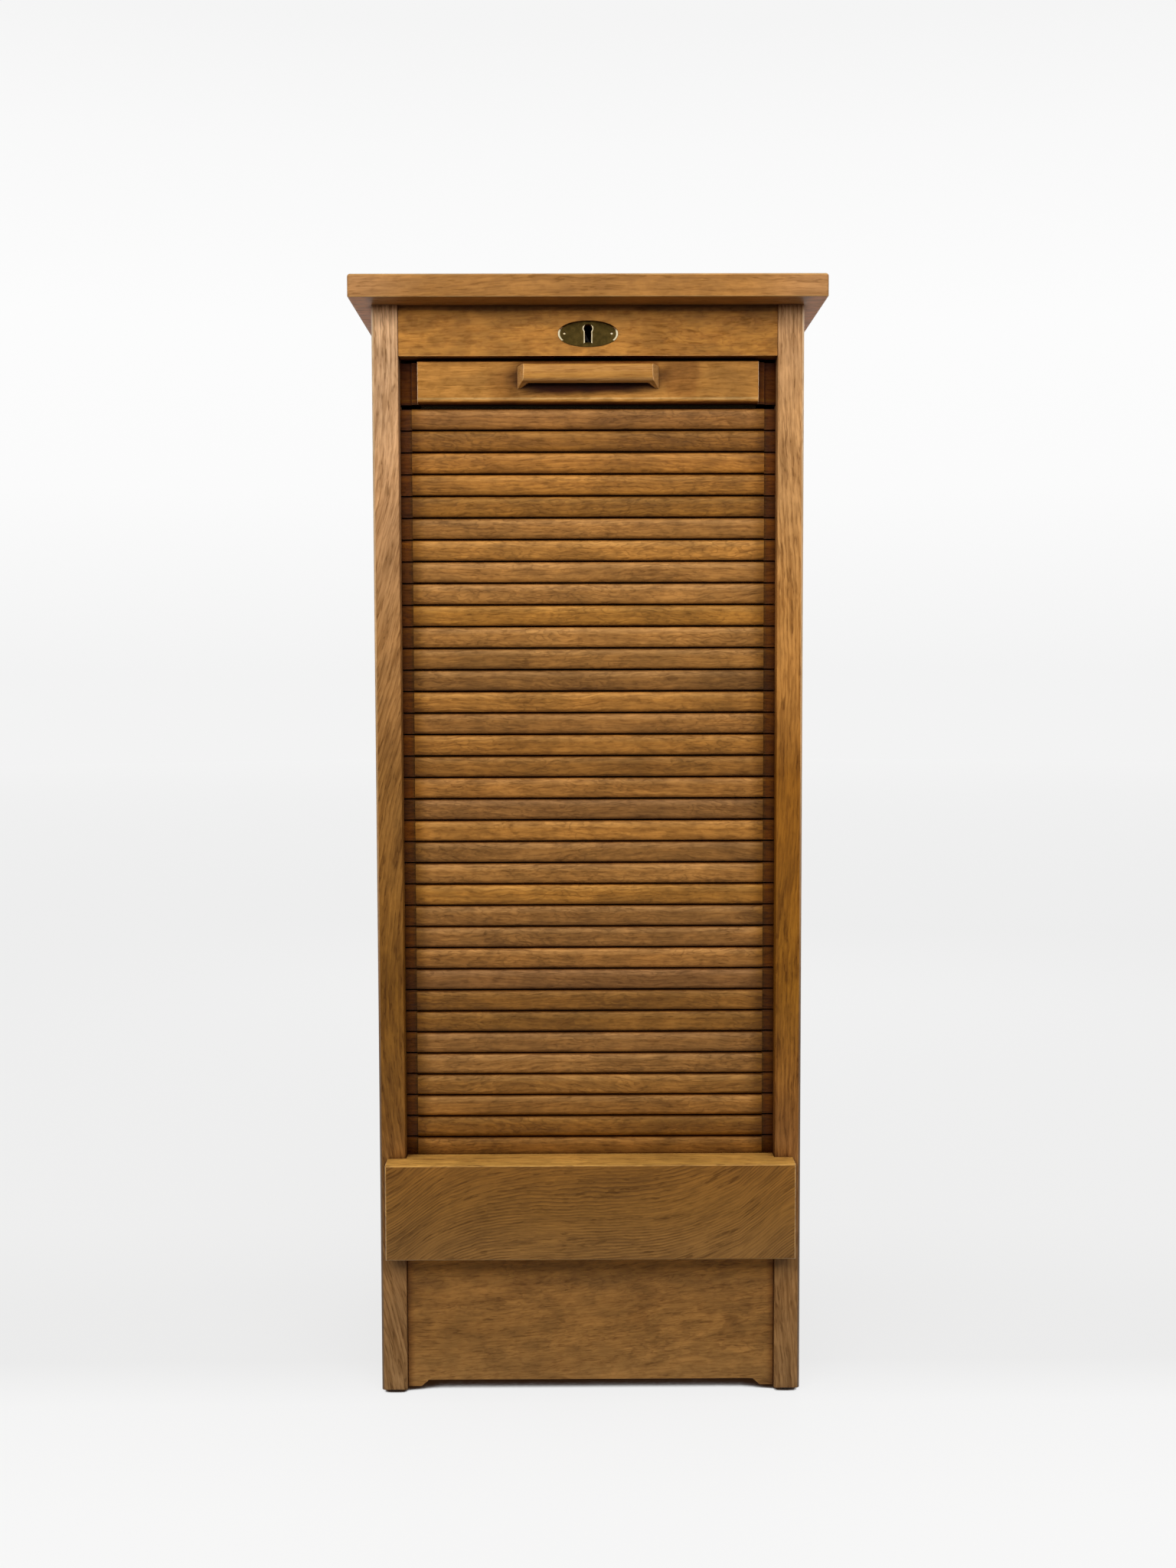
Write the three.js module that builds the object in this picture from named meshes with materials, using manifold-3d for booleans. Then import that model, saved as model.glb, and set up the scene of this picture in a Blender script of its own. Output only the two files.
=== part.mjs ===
// Tambour door cabinet in oak, in millimetres: X to the right, Y to the back, Z up.
// The origin is the middle of the footprint, on the floor, and the shutter is closed.
// The shutter is a row of slats glued to canvas. Its ends run in a groove in each side,
// which goes down the front, round under the cabinet floor and up behind the false back.

import * as THREE from 'three';
import { mergeVertices } from 'three/addons/utils/BufferGeometryUtils.js';
import { ConvexGeometry } from 'three/addons/geometries/ConvexGeometry.js';
import Module from 'manifold-3d';

const wasm = await Module();
wasm.setup();

// Carcase
const HEIGHT = 1200;
const TOP_WIDTH = 498;
const TOP_DEPTH = 440;
const TOP_THICKNESS = 24;
const TOP_EDGE = 3;
const BODY_WIDTH = 458;
const BODY_DEPTH = 400;
const SIDE_THICKNESS = 28;
const SIDE_OUTER_ROUND = 4;
const SIDE_INNER_ROUND = 1.2;
const BOARD_THICKNESS = 18;
const FIT = 0.3;
const GLIDE_HEIGHT = 4;
const GLIDE_DIAMETER = 20;
const GLIDE_INSET = 14;

// Front frame
const TOP_RAIL_HEIGHT = 53;
const TOP_RAIL_THICKNESS = 26;
const TOP_RAIL_SETBACK = 2;
const CROSS_WIDTH = 441;
const CROSS_BOTTOM = 158;
const CROSS_HEIGHT = 104;
const CROSS_PROJECTION = 30;
const CROSS_EDGE = 2;
const PLINTH_SETBACK = 7;
const PLINTH_THICKNESS = 8.7;
const PLINTH_FOOT_BOTTOM = 5;
const PLINTH_ARCH_TOP = 12;
const PLINTH_ARCH_HALF = 178;
const PLINTH_FOOT_HALF = 186;

// Inside
const CABINET_FLOOR_TOP = 250;
const SHELF_TOPS = [548, 838];
const SHELF_FRONT_SETBACK = 6;
const HOUSING_DEPTH = 8;
const FALSE_BACK_FRONT = 168;
const FALSE_BACK_THICKNESS = 10;
const BACK_THICKNESS = 6;
const BACK_REBATE = 10;
const BASE_FLOOR_BOTTOM = PLINTH_ARCH_TOP + FIT;
const BASE_FLOOR_TOP = 22;

// Shutter and the groove that it runs in
const SLAT_COUNT = 35;
const SLAT_PITCH = 23.25;
const SLAT_GAP = 1.4;
const FIRST_GAP_LINE = 1047.5;
const SLAT_SETBACK = 17.5;
const SLAT_THICKNESS = 12;
const SLAT_EDGE_DEPTH = 3;
const SLAT_EDGE_HEIGHT = 5.2;
const SLAT_SHOULDER_WIDTH = 377;
const TONGUE_THICKNESS = 6;
const TONGUE_END_PLAY = 2;
const GROOVE_WIDTH = 7.6;
const GROOVE_DEPTH = 10;
const GROOVE_BEND = 60;
const GROOVE_RUN_HEIGHT = 36;
const GROOVE_REAR_LINE = 190;
const GROOVE_REAR_TOP = 350;
const BEND_STEPS = 10;

// Lead rail, handle and canvas
const LEAD_BOTTOM = 1075;
const LEAD_HEIGHT = 44;
const LEAD_BLOCK_WIDTH = 363;
const LEAD_STEP_WIDTH = 377;
const LEAD_BLOCK_PROUD = 7.5;
const LEAD_STEP_BACK = 2;
const LEAD_TOP_ROUND = 1.2;
const LEAD_BOTTOM_ROUND = 4;
const HANDLE_WIDTH = 151;
const HANDLE_FRONT_WIDTH = 137;
const HANDLE_PROJECTION = 18;
const HANDLE_BOTTOM = 1089.5;
const HANDLE_TOP = 1113.5;
const HANDLE_TOP_ROUND = 2;
const HANDLE_FACE_BOTTOM = 1095.5;
const HANDLE_NOSE_HEIGHT = 11;
const HANDLE_NOSE_DEPTH = 5;
const HANDLE_LIP = 8;
const HANDLE_WALL = 3;
const HANDLE_HOLLOW = 12;
const HANDLE_HOLLOW_FLARE = 1.5;
const CANVAS_WIDTH = 360;
const CANVAS_THICKNESS = 0.8;
const CANVAS_SLATS = 6;

// Lock, with a hook that swings down into the lead rail
const LOCK_CENTRE_HEIGHT = 1146;
const ESCUTCHEON_WIDTH = 63.4;
const ESCUTCHEON_HEIGHT = 27.3;
const ESCUTCHEON_THICKNESS = 1.6;
const ESCUTCHEON_BEVEL = 0.6;
const ESCUTCHEON_PIN_SPAN = 50;
const ESCUTCHEON_PIN_RADIUS = 1.7;
const KEYHOLE_HEAD_RADIUS = 4.5;
const KEYHOLE_HEAD_RISE = 5.5;
const KEYHOLE_SLOT_HALF = 3.3;
const KEYHOLE_DROP = 9.3;
const KEYHOLE_RIM = 1.5;
const CASE_WIDTH = 72;
const CASE_HEIGHT = 43;
const CASE_FRONT = -168;
const CASE_WALL = 4;
const CASE_FOOT = 2;
const HOOK_PLANE = -160;
const HOOK_THICKNESS = 4;
const HOOK_PIVOT_X = 8;
const HOOK_PIVOT_RISE = 8;
const HOOK_INNER = 18;
const HOOK_OUTER = 24;
const HOOK_HUB = 6;
const HOOK_PIN = 3;
const HOOK_TIP_ANGLE = 195;
const HOOK_TAIL_ANGLE = 121;
const HOOK_SPOKE_ANGLE = 11;
const STRIKE_WIDTH = 50;
const STRIKE_DEPTH = 12;
const STRIKE_THICKNESS = 2.5;
const MORTISE_WIDTH = 6;
const MORTISE_FLOOR = 1105;

// Places that follow from the sizes above
const FRONT = -BODY_DEPTH / 2 + (TOP_DEPTH - BODY_DEPTH) / 2;
const BACK = FRONT + BODY_DEPTH;
const SIDE_TOP = HEIGHT - TOP_THICKNESS;
const INNER_HALF = BODY_WIDTH / 2 - SIDE_THICKNESS;
const RAIL_BOTTOM = SIDE_TOP - TOP_RAIL_HEIGHT;
const RAIL_FRONT = FRONT + TOP_RAIL_SETBACK;
const RAIL_BACK = RAIL_FRONT + TOP_RAIL_THICKNESS;
const SLAT_FRONT = FRONT + SLAT_SETBACK;
const SLAT_BACK = SLAT_FRONT + SLAT_THICKNESS;
const GROOVE_LINE = SLAT_BACK - TONGUE_THICKNESS / 2;
const BEND_CENTRE_HEIGHT = GROOVE_RUN_HEIGHT + GROOVE_BEND;
const INSIDE_FRONT = GROOVE_LINE + GROOVE_WIDTH / 2 + 4;
const LEAD_TOP = LEAD_BOTTOM + LEAD_HEIGHT;
const LEAD_FRONT = SLAT_FRONT - LEAD_BLOCK_PROUD;
const HOOK_PIVOT_HEIGHT = RAIL_BOTTOM + HOOK_PIVOT_RISE;

// Finishes
const finish = (color, roughness, metalness = 0) =>
  new THREE.MeshStandardMaterial({ color, roughness, metalness, flatShading: true });
const oakTop = finish('#a8763f', 0.45);
const oakFrame = finish('#a3703c', 0.45);
const oakSlat = finish('#9c6a36', 0.48);
const oakInside = finish('#b98d58', 0.6);
const plywood = finish('#b3946a', 0.7);
const canvas = finish('#8f8468', 0.95);
const brass = finish('#6b5a2c', 0.4, 0.9);
const steel = finish('#8a8c8e', 0.35, 0.9);
const felt = finish('#2a2622', 0.95);

// A closed solid ready to be cut or joined, from any three.js geometry.
function solid(geometry) {
  const bare = geometry.clone();
  bare.deleteAttribute('normal');
  bare.deleteAttribute('uv');
  const merged = mergeVertices(bare, 1e-4);
  return new wasm.Manifold(new wasm.Mesh({
    numProp: 3,
    vertProperties: new Float32Array(merged.attributes.position.array),
    triVerts: new Uint32Array(merged.index.array),
  }));
}

// The three.js geometry of a solid.
function shaped(body) {
  const mesh = body.getMesh();
  const geometry = new THREE.BufferGeometry();
  geometry.setAttribute('position', new THREE.BufferAttribute(mesh.vertProperties, 3));
  geometry.setIndex(new THREE.BufferAttribute(mesh.triVerts, 1));
  return geometry;
}

function cut(geometry, ...tools) {
  return shaped(tools.reduce((body, tool) => body.subtract(solid(tool)), solid(geometry)));
}

function join(...geometries) {
  return shaped(geometries.map(solid).reduce((body, other) => body.add(other)));
}

// A board between two opposite corners.
function board(x0, x1, y0, y1, z0, z1) {
  const geometry = new THREE.BoxGeometry(x1 - x0, y1 - y0, z1 - z0);
  return geometry.translate((x0 + x1) / 2, (y0 + y1) / 2, (z0 + z1) / 2);
}

// A moulding of constant section: the outline is in Y and Z, the length runs along X.
function alongX(outline, x0, x1, curveSegments = BEND_STEPS) {
  const geometry = new THREE.ExtrudeGeometry(outline, { depth: x1 - x0, bevelEnabled: false, curveSegments });
  const turn = new THREE.Matrix4().set(0, 0, 1, x0, 1, 0, 0, 0, 0, 1, 0, 0, 0, 0, 0, 1);
  return geometry.applyMatrix4(turn);
}

// A plate seen from the front: the outline is in X and Z, the thickness runs along Y.
function alongY(outline, y0, y1, options = {}) {
  const settings = { depth: y1 - y0, bevelEnabled: false, curveSegments: 8, ...options };
  const geometry = new THREE.ExtrudeGeometry(outline, settings);
  const turn = new THREE.Matrix4().set(1, 0, 0, 0, 0, 0, -1, y1, 0, 1, 0, 0, 0, 0, 0, 1);
  return geometry.applyMatrix4(turn);
}

function rectangle(x0, x1, y0, y1) {
  return new THREE.Shape([
    new THREE.Vector2(x0, y0), new THREE.Vector2(x1, y0),
    new THREE.Vector2(x1, y1), new THREE.Vector2(x0, y1),
  ]);
}

// A block between two four-cornered faces, each corner given as X, Y and Z.
function wedge(firstFace, secondFace) {
  const corners = [...firstFace, ...secondFace].map((corner) => new THREE.Vector3(...corner));
  return new ConvexGeometry(corners);
}

const cabinet = new THREE.Group();

function add(parent, name, geometry, material) {
  geometry.computeVertexNormals();
  const mesh = new THREE.Mesh(geometry, material);
  mesh.name = name;
  parent.add(mesh);
  return mesh;
}

// Top board: one wide board with a small round on every edge.
function topBoard() {
  const outline = rectangle(
    -TOP_WIDTH / 2 + TOP_EDGE, TOP_WIDTH / 2 - TOP_EDGE,
    -TOP_DEPTH / 2 + TOP_EDGE, TOP_DEPTH / 2 - TOP_EDGE,
  );
  const geometry = new THREE.ExtrudeGeometry(outline, {
    depth: TOP_THICKNESS - 2 * TOP_EDGE,
    bevelSize: TOP_EDGE,
    bevelThickness: TOP_EDGE,
    bevelSegments: 3,
  });
  return geometry.translate(0, 0, TOP_EDGE);
}

// The groove as an outline in Y and Z: a band of constant width round a U-shaped line.
function grooveOutline() {
  const half = GROOVE_WIDTH / 2;
  const outer = GROOVE_BEND + half;
  const inner = GROOVE_BEND - half;
  const frontCentre = GROOVE_LINE + GROOVE_BEND;
  const rearCentre = GROOVE_REAR_LINE - GROOVE_BEND;
  const openEnd = SIDE_TOP + 1;
  const path = new THREE.Shape();
  path.moveTo(GROOVE_LINE - half, openEnd);
  path.lineTo(GROOVE_LINE - half, BEND_CENTRE_HEIGHT);
  path.absarc(frontCentre, BEND_CENTRE_HEIGHT, outer, Math.PI, 1.5 * Math.PI, false);
  path.lineTo(rearCentre, GROOVE_RUN_HEIGHT - half);
  path.absarc(rearCentre, BEND_CENTRE_HEIGHT, outer, 1.5 * Math.PI, 2 * Math.PI, false);
  path.absarc(GROOVE_REAR_LINE, GROOVE_REAR_TOP - half, half, 0, Math.PI, false);
  path.lineTo(GROOVE_REAR_LINE - half, BEND_CENTRE_HEIGHT);
  path.absarc(rearCentre, BEND_CENTRE_HEIGHT, inner, 0, -0.5 * Math.PI, true);
  path.lineTo(frontCentre, GROOVE_RUN_HEIGHT + half);
  path.absarc(frontCentre, BEND_CENTRE_HEIGHT, inner, -0.5 * Math.PI, -Math.PI, true);
  path.lineTo(GROOVE_LINE + half, openEnd);
  return path;
}

// A side board before its joints are cut: its plan, with both front edges rounded.
function sideBlank() {
  const outer = SIDE_OUTER_ROUND;
  const inner = SIDE_INNER_ROUND;
  const edge = BODY_WIDTH / 2;
  const plan = new THREE.Shape();
  plan.moveTo(INNER_HALF, BACK);
  plan.lineTo(INNER_HALF, FRONT + inner);
  plan.absarc(INNER_HALF + inner, FRONT + inner, inner, Math.PI, 1.5 * Math.PI, false);
  plan.absarc(edge - outer, FRONT + outer, outer, 1.5 * Math.PI, 2 * Math.PI, false);
  plan.lineTo(edge, BACK);
  const height = SIDE_TOP - GLIDE_HEIGHT;
  const blank = new THREE.ExtrudeGeometry(plan, { depth: height, bevelEnabled: false, curveSegments: 4 });
  return blank.translate(0, 0, GLIDE_HEIGHT);
}

// A mirrored geometry is inside out until each triangle's corners are taken in reverse.
function flipFaces(geometry) {
  const position = geometry.attributes.position;
  for (let i = 0; i < position.count; i += 3) {
    const second = new THREE.Vector3().fromBufferAttribute(position, i + 1);
    const third = new THREE.Vector3().fromBufferAttribute(position, i + 2);
    position.setXYZ(i + 1, third.x, third.y, third.z);
    position.setXYZ(i + 2, second.x, second.y, second.z);
  }
}

// A side board. Its inner face carries the groove, the housings of the cabinet floor and
// shelves, and the rebate of the back. hand is -1 for the left side and 1 for the right.
function sideBoard(hand) {
  const x = (distance) => hand * distance;
  const span = (a, b) => [Math.min(x(a), x(b)), Math.max(x(a), x(b))];
  const blank = sideBlank().scale(hand, 1, 1);
  if (hand < 0) flipFaces(blank);
  const groove = alongX(grooveOutline(), ...span(INNER_HALF - 1, INNER_HALF + GROOVE_DEPTH));
  const housings = [CABINET_FLOOR_TOP, ...SHELF_TOPS].map((top, level) => {
    const front = level === 0 ? INSIDE_FRONT : INSIDE_FRONT + SHELF_FRONT_SETBACK;
    return board(
      ...span(INNER_HALF - 1, INNER_HALF + HOUSING_DEPTH + FIT),
      front - FIT, FALSE_BACK_FRONT, top - BOARD_THICKNESS - FIT, top + FIT,
    );
  });
  const rebate = board(
    ...span(INNER_HALF - 1, INNER_HALF + BACK_REBATE), BACK - BACK_THICKNESS - FIT, BACK + 1,
    GLIDE_HEIGHT - 1, SIDE_TOP + 1,
  );
  return cut(blank, groove, ...housings, rebate);
}

// A shelf or the cabinet floor: its ends stand in the housings of both sides.
function shelfBoard(front) {
  const half = INNER_HALF + HOUSING_DEPTH;
  return board(-half, half, front, FALSE_BACK_FRONT - FIT, -BOARD_THICKNESS, 0);
}

// The cross board laps over the front edges of both sides, and its rebated back fills the
// space between them, up to the slats.
function crossBoard() {
  const half = CROSS_WIDTH / 2;
  const top = CROSS_BOTTOM + CROSS_HEIGHT;
  const face = rectangle(-half + CROSS_EDGE, half - CROSS_EDGE, CROSS_BOTTOM + CROSS_EDGE, top - CROSS_EDGE);
  const frontFace = FRONT - CROSS_PROJECTION;
  const lap = alongY(face, frontFace + CROSS_EDGE, FRONT + 10, {
    bevelEnabled: true, bevelSize: CROSS_EDGE, bevelThickness: CROSS_EDGE, bevelSegments: 2,
  });
  const tongueHalf = INNER_HALF - FIT;
  const filler = board(
    -tongueHalf, tongueHalf, FRONT - 5, SLAT_FRONT - 1.3, CROSS_BOTTOM, top,
  );
  const waste = [-1, 1].map((hand) => {
    const near = hand * tongueHalf;
    const far = hand * (half + 1);
    return board(Math.min(near, far), Math.max(near, far), FRONT - FIT, FRONT + 20, CROSS_BOTTOM - 1, top + 1);
  });
  const behind = board(-half - 1, half + 1, SLAT_FRONT - 1.3, FRONT + 40, CROSS_BOTTOM - 1, top + 1);
  return cut(join(lap, filler), ...waste, behind);
}

// The plinth panel stands between the sides, with a low arch that leaves a foot at each end.
function plinthPanel() {
  const half = INNER_HALF - FIT;
  const outline = new THREE.Shape([
    new THREE.Vector2(-half, PLINTH_FOOT_BOTTOM),
    new THREE.Vector2(-PLINTH_FOOT_HALF, PLINTH_FOOT_BOTTOM),
    new THREE.Vector2(-PLINTH_ARCH_HALF, PLINTH_ARCH_TOP),
    new THREE.Vector2(PLINTH_ARCH_HALF, PLINTH_ARCH_TOP),
    new THREE.Vector2(PLINTH_FOOT_HALF, PLINTH_FOOT_BOTTOM),
    new THREE.Vector2(half, PLINTH_FOOT_BOTTOM),
    new THREE.Vector2(half, CROSS_BOTTOM - FIT),
    new THREE.Vector2(-half, CROSS_BOTTOM - FIT),
  ]);
  return alongY(outline, FRONT + PLINTH_SETBACK, FRONT + PLINTH_SETBACK + PLINTH_THICKNESS);
}

// The keyhole: a round head over a parallel slot, in X and Z from the lock's centre.
function keyholeOutline(grow = 0) {
  const radius = KEYHOLE_HEAD_RADIUS + grow;
  const slot = KEYHOLE_SLOT_HALF + grow;
  const start = -Math.acos(slot / radius);
  const outline = new THREE.Shape();
  outline.moveTo(-slot, -KEYHOLE_DROP - grow);
  outline.lineTo(slot, -KEYHOLE_DROP - grow);
  outline.absarc(0, KEYHOLE_HEAD_RISE, radius, start, Math.PI - start, false);
  return outline;
}

// The top rail holds the lock: the keyhole goes in from the front, the case from behind.
function topRail() {
  const half = INNER_HALF - FIT;
  const blank = board(-half, half, RAIL_FRONT, RAIL_BACK, RAIL_BOTTOM, SIDE_TOP - FIT);
  const keyhole = alongY(keyholeOutline(), RAIL_FRONT - 1, CASE_FRONT + 1).translate(0, 0, LOCK_CENTRE_HEIGHT);
  const pocketHalf = CASE_WIDTH / 2 + FIT;
  const pocket = board(
    -pocketHalf, pocketHalf, CASE_FRONT - FIT, RAIL_BACK + 1, RAIL_BOTTOM - 1, RAIL_BOTTOM + CASE_HEIGHT + FIT,
  );
  return cut(blank, keyhole, pocket);
}

// The lock case: a box open below where the hook comes out, with the hook's pin inside.
function lockCase() {
  const half = CASE_WIDTH / 2;
  const blank = board(-half, half, CASE_FRONT, RAIL_BACK, RAIL_BOTTOM, RAIL_BOTTOM + CASE_HEIGHT);
  const hollow = board(
    -half + CASE_WALL, half - CASE_WALL, CASE_FRONT + CASE_WALL, RAIL_BACK - CASE_WALL,
    RAIL_BOTTOM + CASE_FOOT, RAIL_BOTTOM + CASE_HEIGHT - CASE_WALL,
  );
  const mouth = board(
    HOOK_PIVOT_X - HOOK_OUTER - 1.5, HOOK_PIVOT_X - HOOK_HUB,
    CASE_FRONT + CASE_WALL, RAIL_BACK - CASE_WALL, RAIL_BOTTOM - 1, RAIL_BOTTOM + CASE_FOOT + 1,
  );
  const keyhole = alongY(keyholeOutline(), CASE_FRONT - 1, CASE_FRONT + CASE_WALL + 1);
  keyhole.translate(0, 0, LOCK_CENTRE_HEIGHT);
  const pin = new THREE.CylinderGeometry(HOOK_PIN, HOOK_PIN, RAIL_BACK - CASE_FRONT - CASE_WALL, 16);
  pin.translate(HOOK_PIVOT_X, (CASE_FRONT + RAIL_BACK) / 2, HOOK_PIVOT_HEIGHT);
  return join(cut(blank, hollow, mouth, keyhole), pin);
}

// The hook: a curved blade round the pin, with one spoke to its hub. Angles are degrees
// round the pin, seen from the front, and the blade's tip points down to the left.
function hookBolt() {
  const tip = THREE.MathUtils.degToRad(HOOK_TIP_ANGLE);
  const tail = THREE.MathUtils.degToRad(HOOK_TAIL_ANGLE);
  const spokeEnd = THREE.MathUtils.degToRad(HOOK_TAIL_ANGLE + HOOK_SPOKE_ANGLE);
  const blade = new THREE.Shape();
  blade.absarc(0, 0, HOOK_OUTER, tail, tip, false);
  blade.absarc(0, 0, HOOK_INNER, tip, tail, true);
  const reach = HOOK_INNER + 1;
  const spoke = new THREE.Shape([
    new THREE.Vector2(0, 0),
    new THREE.Vector2(reach * Math.cos(tail), reach * Math.sin(tail)),
    new THREE.Vector2(reach * Math.cos(spokeEnd), reach * Math.sin(spokeEnd)),
  ]);
  const y0 = HOOK_PLANE - HOOK_THICKNESS / 2;
  const y1 = HOOK_PLANE + HOOK_THICKNESS / 2;
  const hub = new THREE.CylinderGeometry(HOOK_HUB, HOOK_HUB, HOOK_THICKNESS, 24).translate(0, HOOK_PLANE, 0);
  const bore = new THREE.CylinderGeometry(HOOK_PIN + FIT, HOOK_PIN + FIT, HOOK_THICKNESS + 2, 24);
  bore.translate(0, HOOK_PLANE, 0);
  return cut(join(alongY(blade, y0, y1, { curveSegments: 12 }), alongY(spoke, y0, y1), hub), bore);
}

// The escutcheon: a bevelled oval plate with a raised rim round the keyhole and two pins.
function escutcheonPlate() {
  const a = ESCUTCHEON_WIDTH / 2 - ESCUTCHEON_BEVEL;
  const b = ESCUTCHEON_HEIGHT / 2 - ESCUTCHEON_BEVEL;
  const oval = new THREE.Shape();
  oval.moveTo(-a, 0);
  oval.bezierCurveTo(-a, -0.56 * b, -0.5 * a, -0.97 * b, 0, -b);
  oval.bezierCurveTo(0.5 * a, -0.97 * b, a, -0.56 * b, a, 0);
  oval.bezierCurveTo(a, 0.56 * b, 0.5 * a, 0.97 * b, 0, b);
  oval.bezierCurveTo(-0.5 * a, 0.97 * b, -a, 0.56 * b, -a, 0);
  const face = -ESCUTCHEON_THICKNESS;
  const plate = alongY(oval, face + ESCUTCHEON_BEVEL, -ESCUTCHEON_BEVEL, {
    bevelEnabled: true, bevelSize: ESCUTCHEON_BEVEL, bevelThickness: ESCUTCHEON_BEVEL, bevelSegments: 2,
  });
  const rim = alongY(keyholeOutline(KEYHOLE_RIM), face - 0.6, face + 0.2);
  const pins = [-1, 1].map((hand) => {
    const head = new THREE.SphereGeometry(ESCUTCHEON_PIN_RADIUS, 12, 8);
    return head.translate(hand * ESCUTCHEON_PIN_SPAN / 2, face, 0);
  });
  const wall = board(-40, 40, 0, 5, -20, 20);
  return cut(join(plate, rim, ...pins), alongY(keyholeOutline(), face - 3, 1), wall);
}

// A slat: flat front, both long edges rounded back to a V-shaped gap, and a shoulder near
// each end, from which a thinner tongue runs on into the groove.
function slat() {
  const half = (SLAT_PITCH - SLAT_GAP) / 2;
  const section = new THREE.Shape();
  const edgeY = SLAT_FRONT + SLAT_EDGE_DEPTH;
  const edgeZ = half - SLAT_EDGE_HEIGHT;
  section.moveTo(SLAT_BACK, -half);
  section.lineTo(SLAT_BACK, half);
  section.absellipse(edgeY, edgeZ, SLAT_EDGE_DEPTH, SLAT_EDGE_HEIGHT, 0.5 * Math.PI, Math.PI, false);
  section.absellipse(edgeY, -edgeZ, SLAT_EDGE_DEPTH, SLAT_EDGE_HEIGHT, Math.PI, 1.5 * Math.PI, false);
  const bodyHalf = SLAT_SHOULDER_WIDTH / 2;
  const tongueHalf = INNER_HALF + GROOVE_DEPTH - TONGUE_END_PLAY;
  const tongue = board(-tongueHalf, tongueHalf, SLAT_BACK - TONGUE_THICKNESS, SLAT_BACK, -half, half);
  return join(alongX(section, -bodyHalf, bodyHalf, 3), tongue);
}

// The lead rail: a thick block that stops on the cross board, stepped down at each end to
// the tongue in the groove. A brass strike plate is let into its top over the hook's mortise.
function leadRail() {
  const blockHalf = LEAD_BLOCK_WIDTH / 2;
  const stepHalf = LEAD_STEP_WIDTH / 2;
  const tongueHalf = INNER_HALF + GROOVE_DEPTH - TONGUE_END_PLAY;
  const top = LEAD_TOP_ROUND;
  const bottom = LEAD_BOTTOM_ROUND;
  const section = new THREE.Shape();
  section.moveTo(SLAT_BACK, LEAD_BOTTOM);
  section.lineTo(SLAT_BACK, LEAD_TOP);
  section.absarc(LEAD_FRONT + top, LEAD_TOP - top, top, 0.5 * Math.PI, Math.PI, false);
  section.absarc(LEAD_FRONT + bottom, LEAD_BOTTOM + bottom, bottom, Math.PI, 1.5 * Math.PI, false);
  const block = alongX(section, -blockHalf, blockHalf, 5);
  const step = board(-stepHalf, stepHalf, SLAT_FRONT + LEAD_STEP_BACK, SLAT_BACK, LEAD_BOTTOM, LEAD_TOP);
  const tongue = board(-tongueHalf, tongueHalf, SLAT_BACK - TONGUE_THICKNESS, SLAT_BACK, LEAD_BOTTOM, LEAD_TOP);
  const seat = board(
    -STRIKE_WIDTH / 2 - FIT, STRIKE_WIDTH / 2 + FIT,
    HOOK_PLANE - STRIKE_DEPTH / 2 - FIT, HOOK_PLANE + STRIKE_DEPTH / 2 + FIT,
    LEAD_TOP - STRIKE_THICKNESS - FIT, LEAD_TOP + 1,
  );
  const mortise = board(
    HOOK_PIVOT_X - HOOK_OUTER, HOOK_PIVOT_X + HOOK_OUTER / 2,
    HOOK_PLANE - MORTISE_WIDTH / 2, HOOK_PLANE + MORTISE_WIDTH / 2,
    MORTISE_FLOOR, LEAD_TOP,
  );
  return cut(join(block, step, tongue), seat, mortise);
}

// The strike plate, with a slot at the side where the hook goes in.
function strikePlate() {
  const half = STRIKE_WIDTH / 2;
  const blank = board(-half, half, -STRIKE_DEPTH / 2, STRIKE_DEPTH / 2, -STRIKE_THICKNESS, 0);
  const slotNear = HOOK_PIVOT_X - 10;
  const slotFar = HOOK_PIVOT_X - HOOK_OUTER + 2.5;
  const slot = board(slotFar, slotNear, -MORTISE_WIDTH / 2, MORTISE_WIDTH / 2, -STRIKE_THICKNESS - 1, 1);
  return cut(blank, slot);
}

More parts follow.
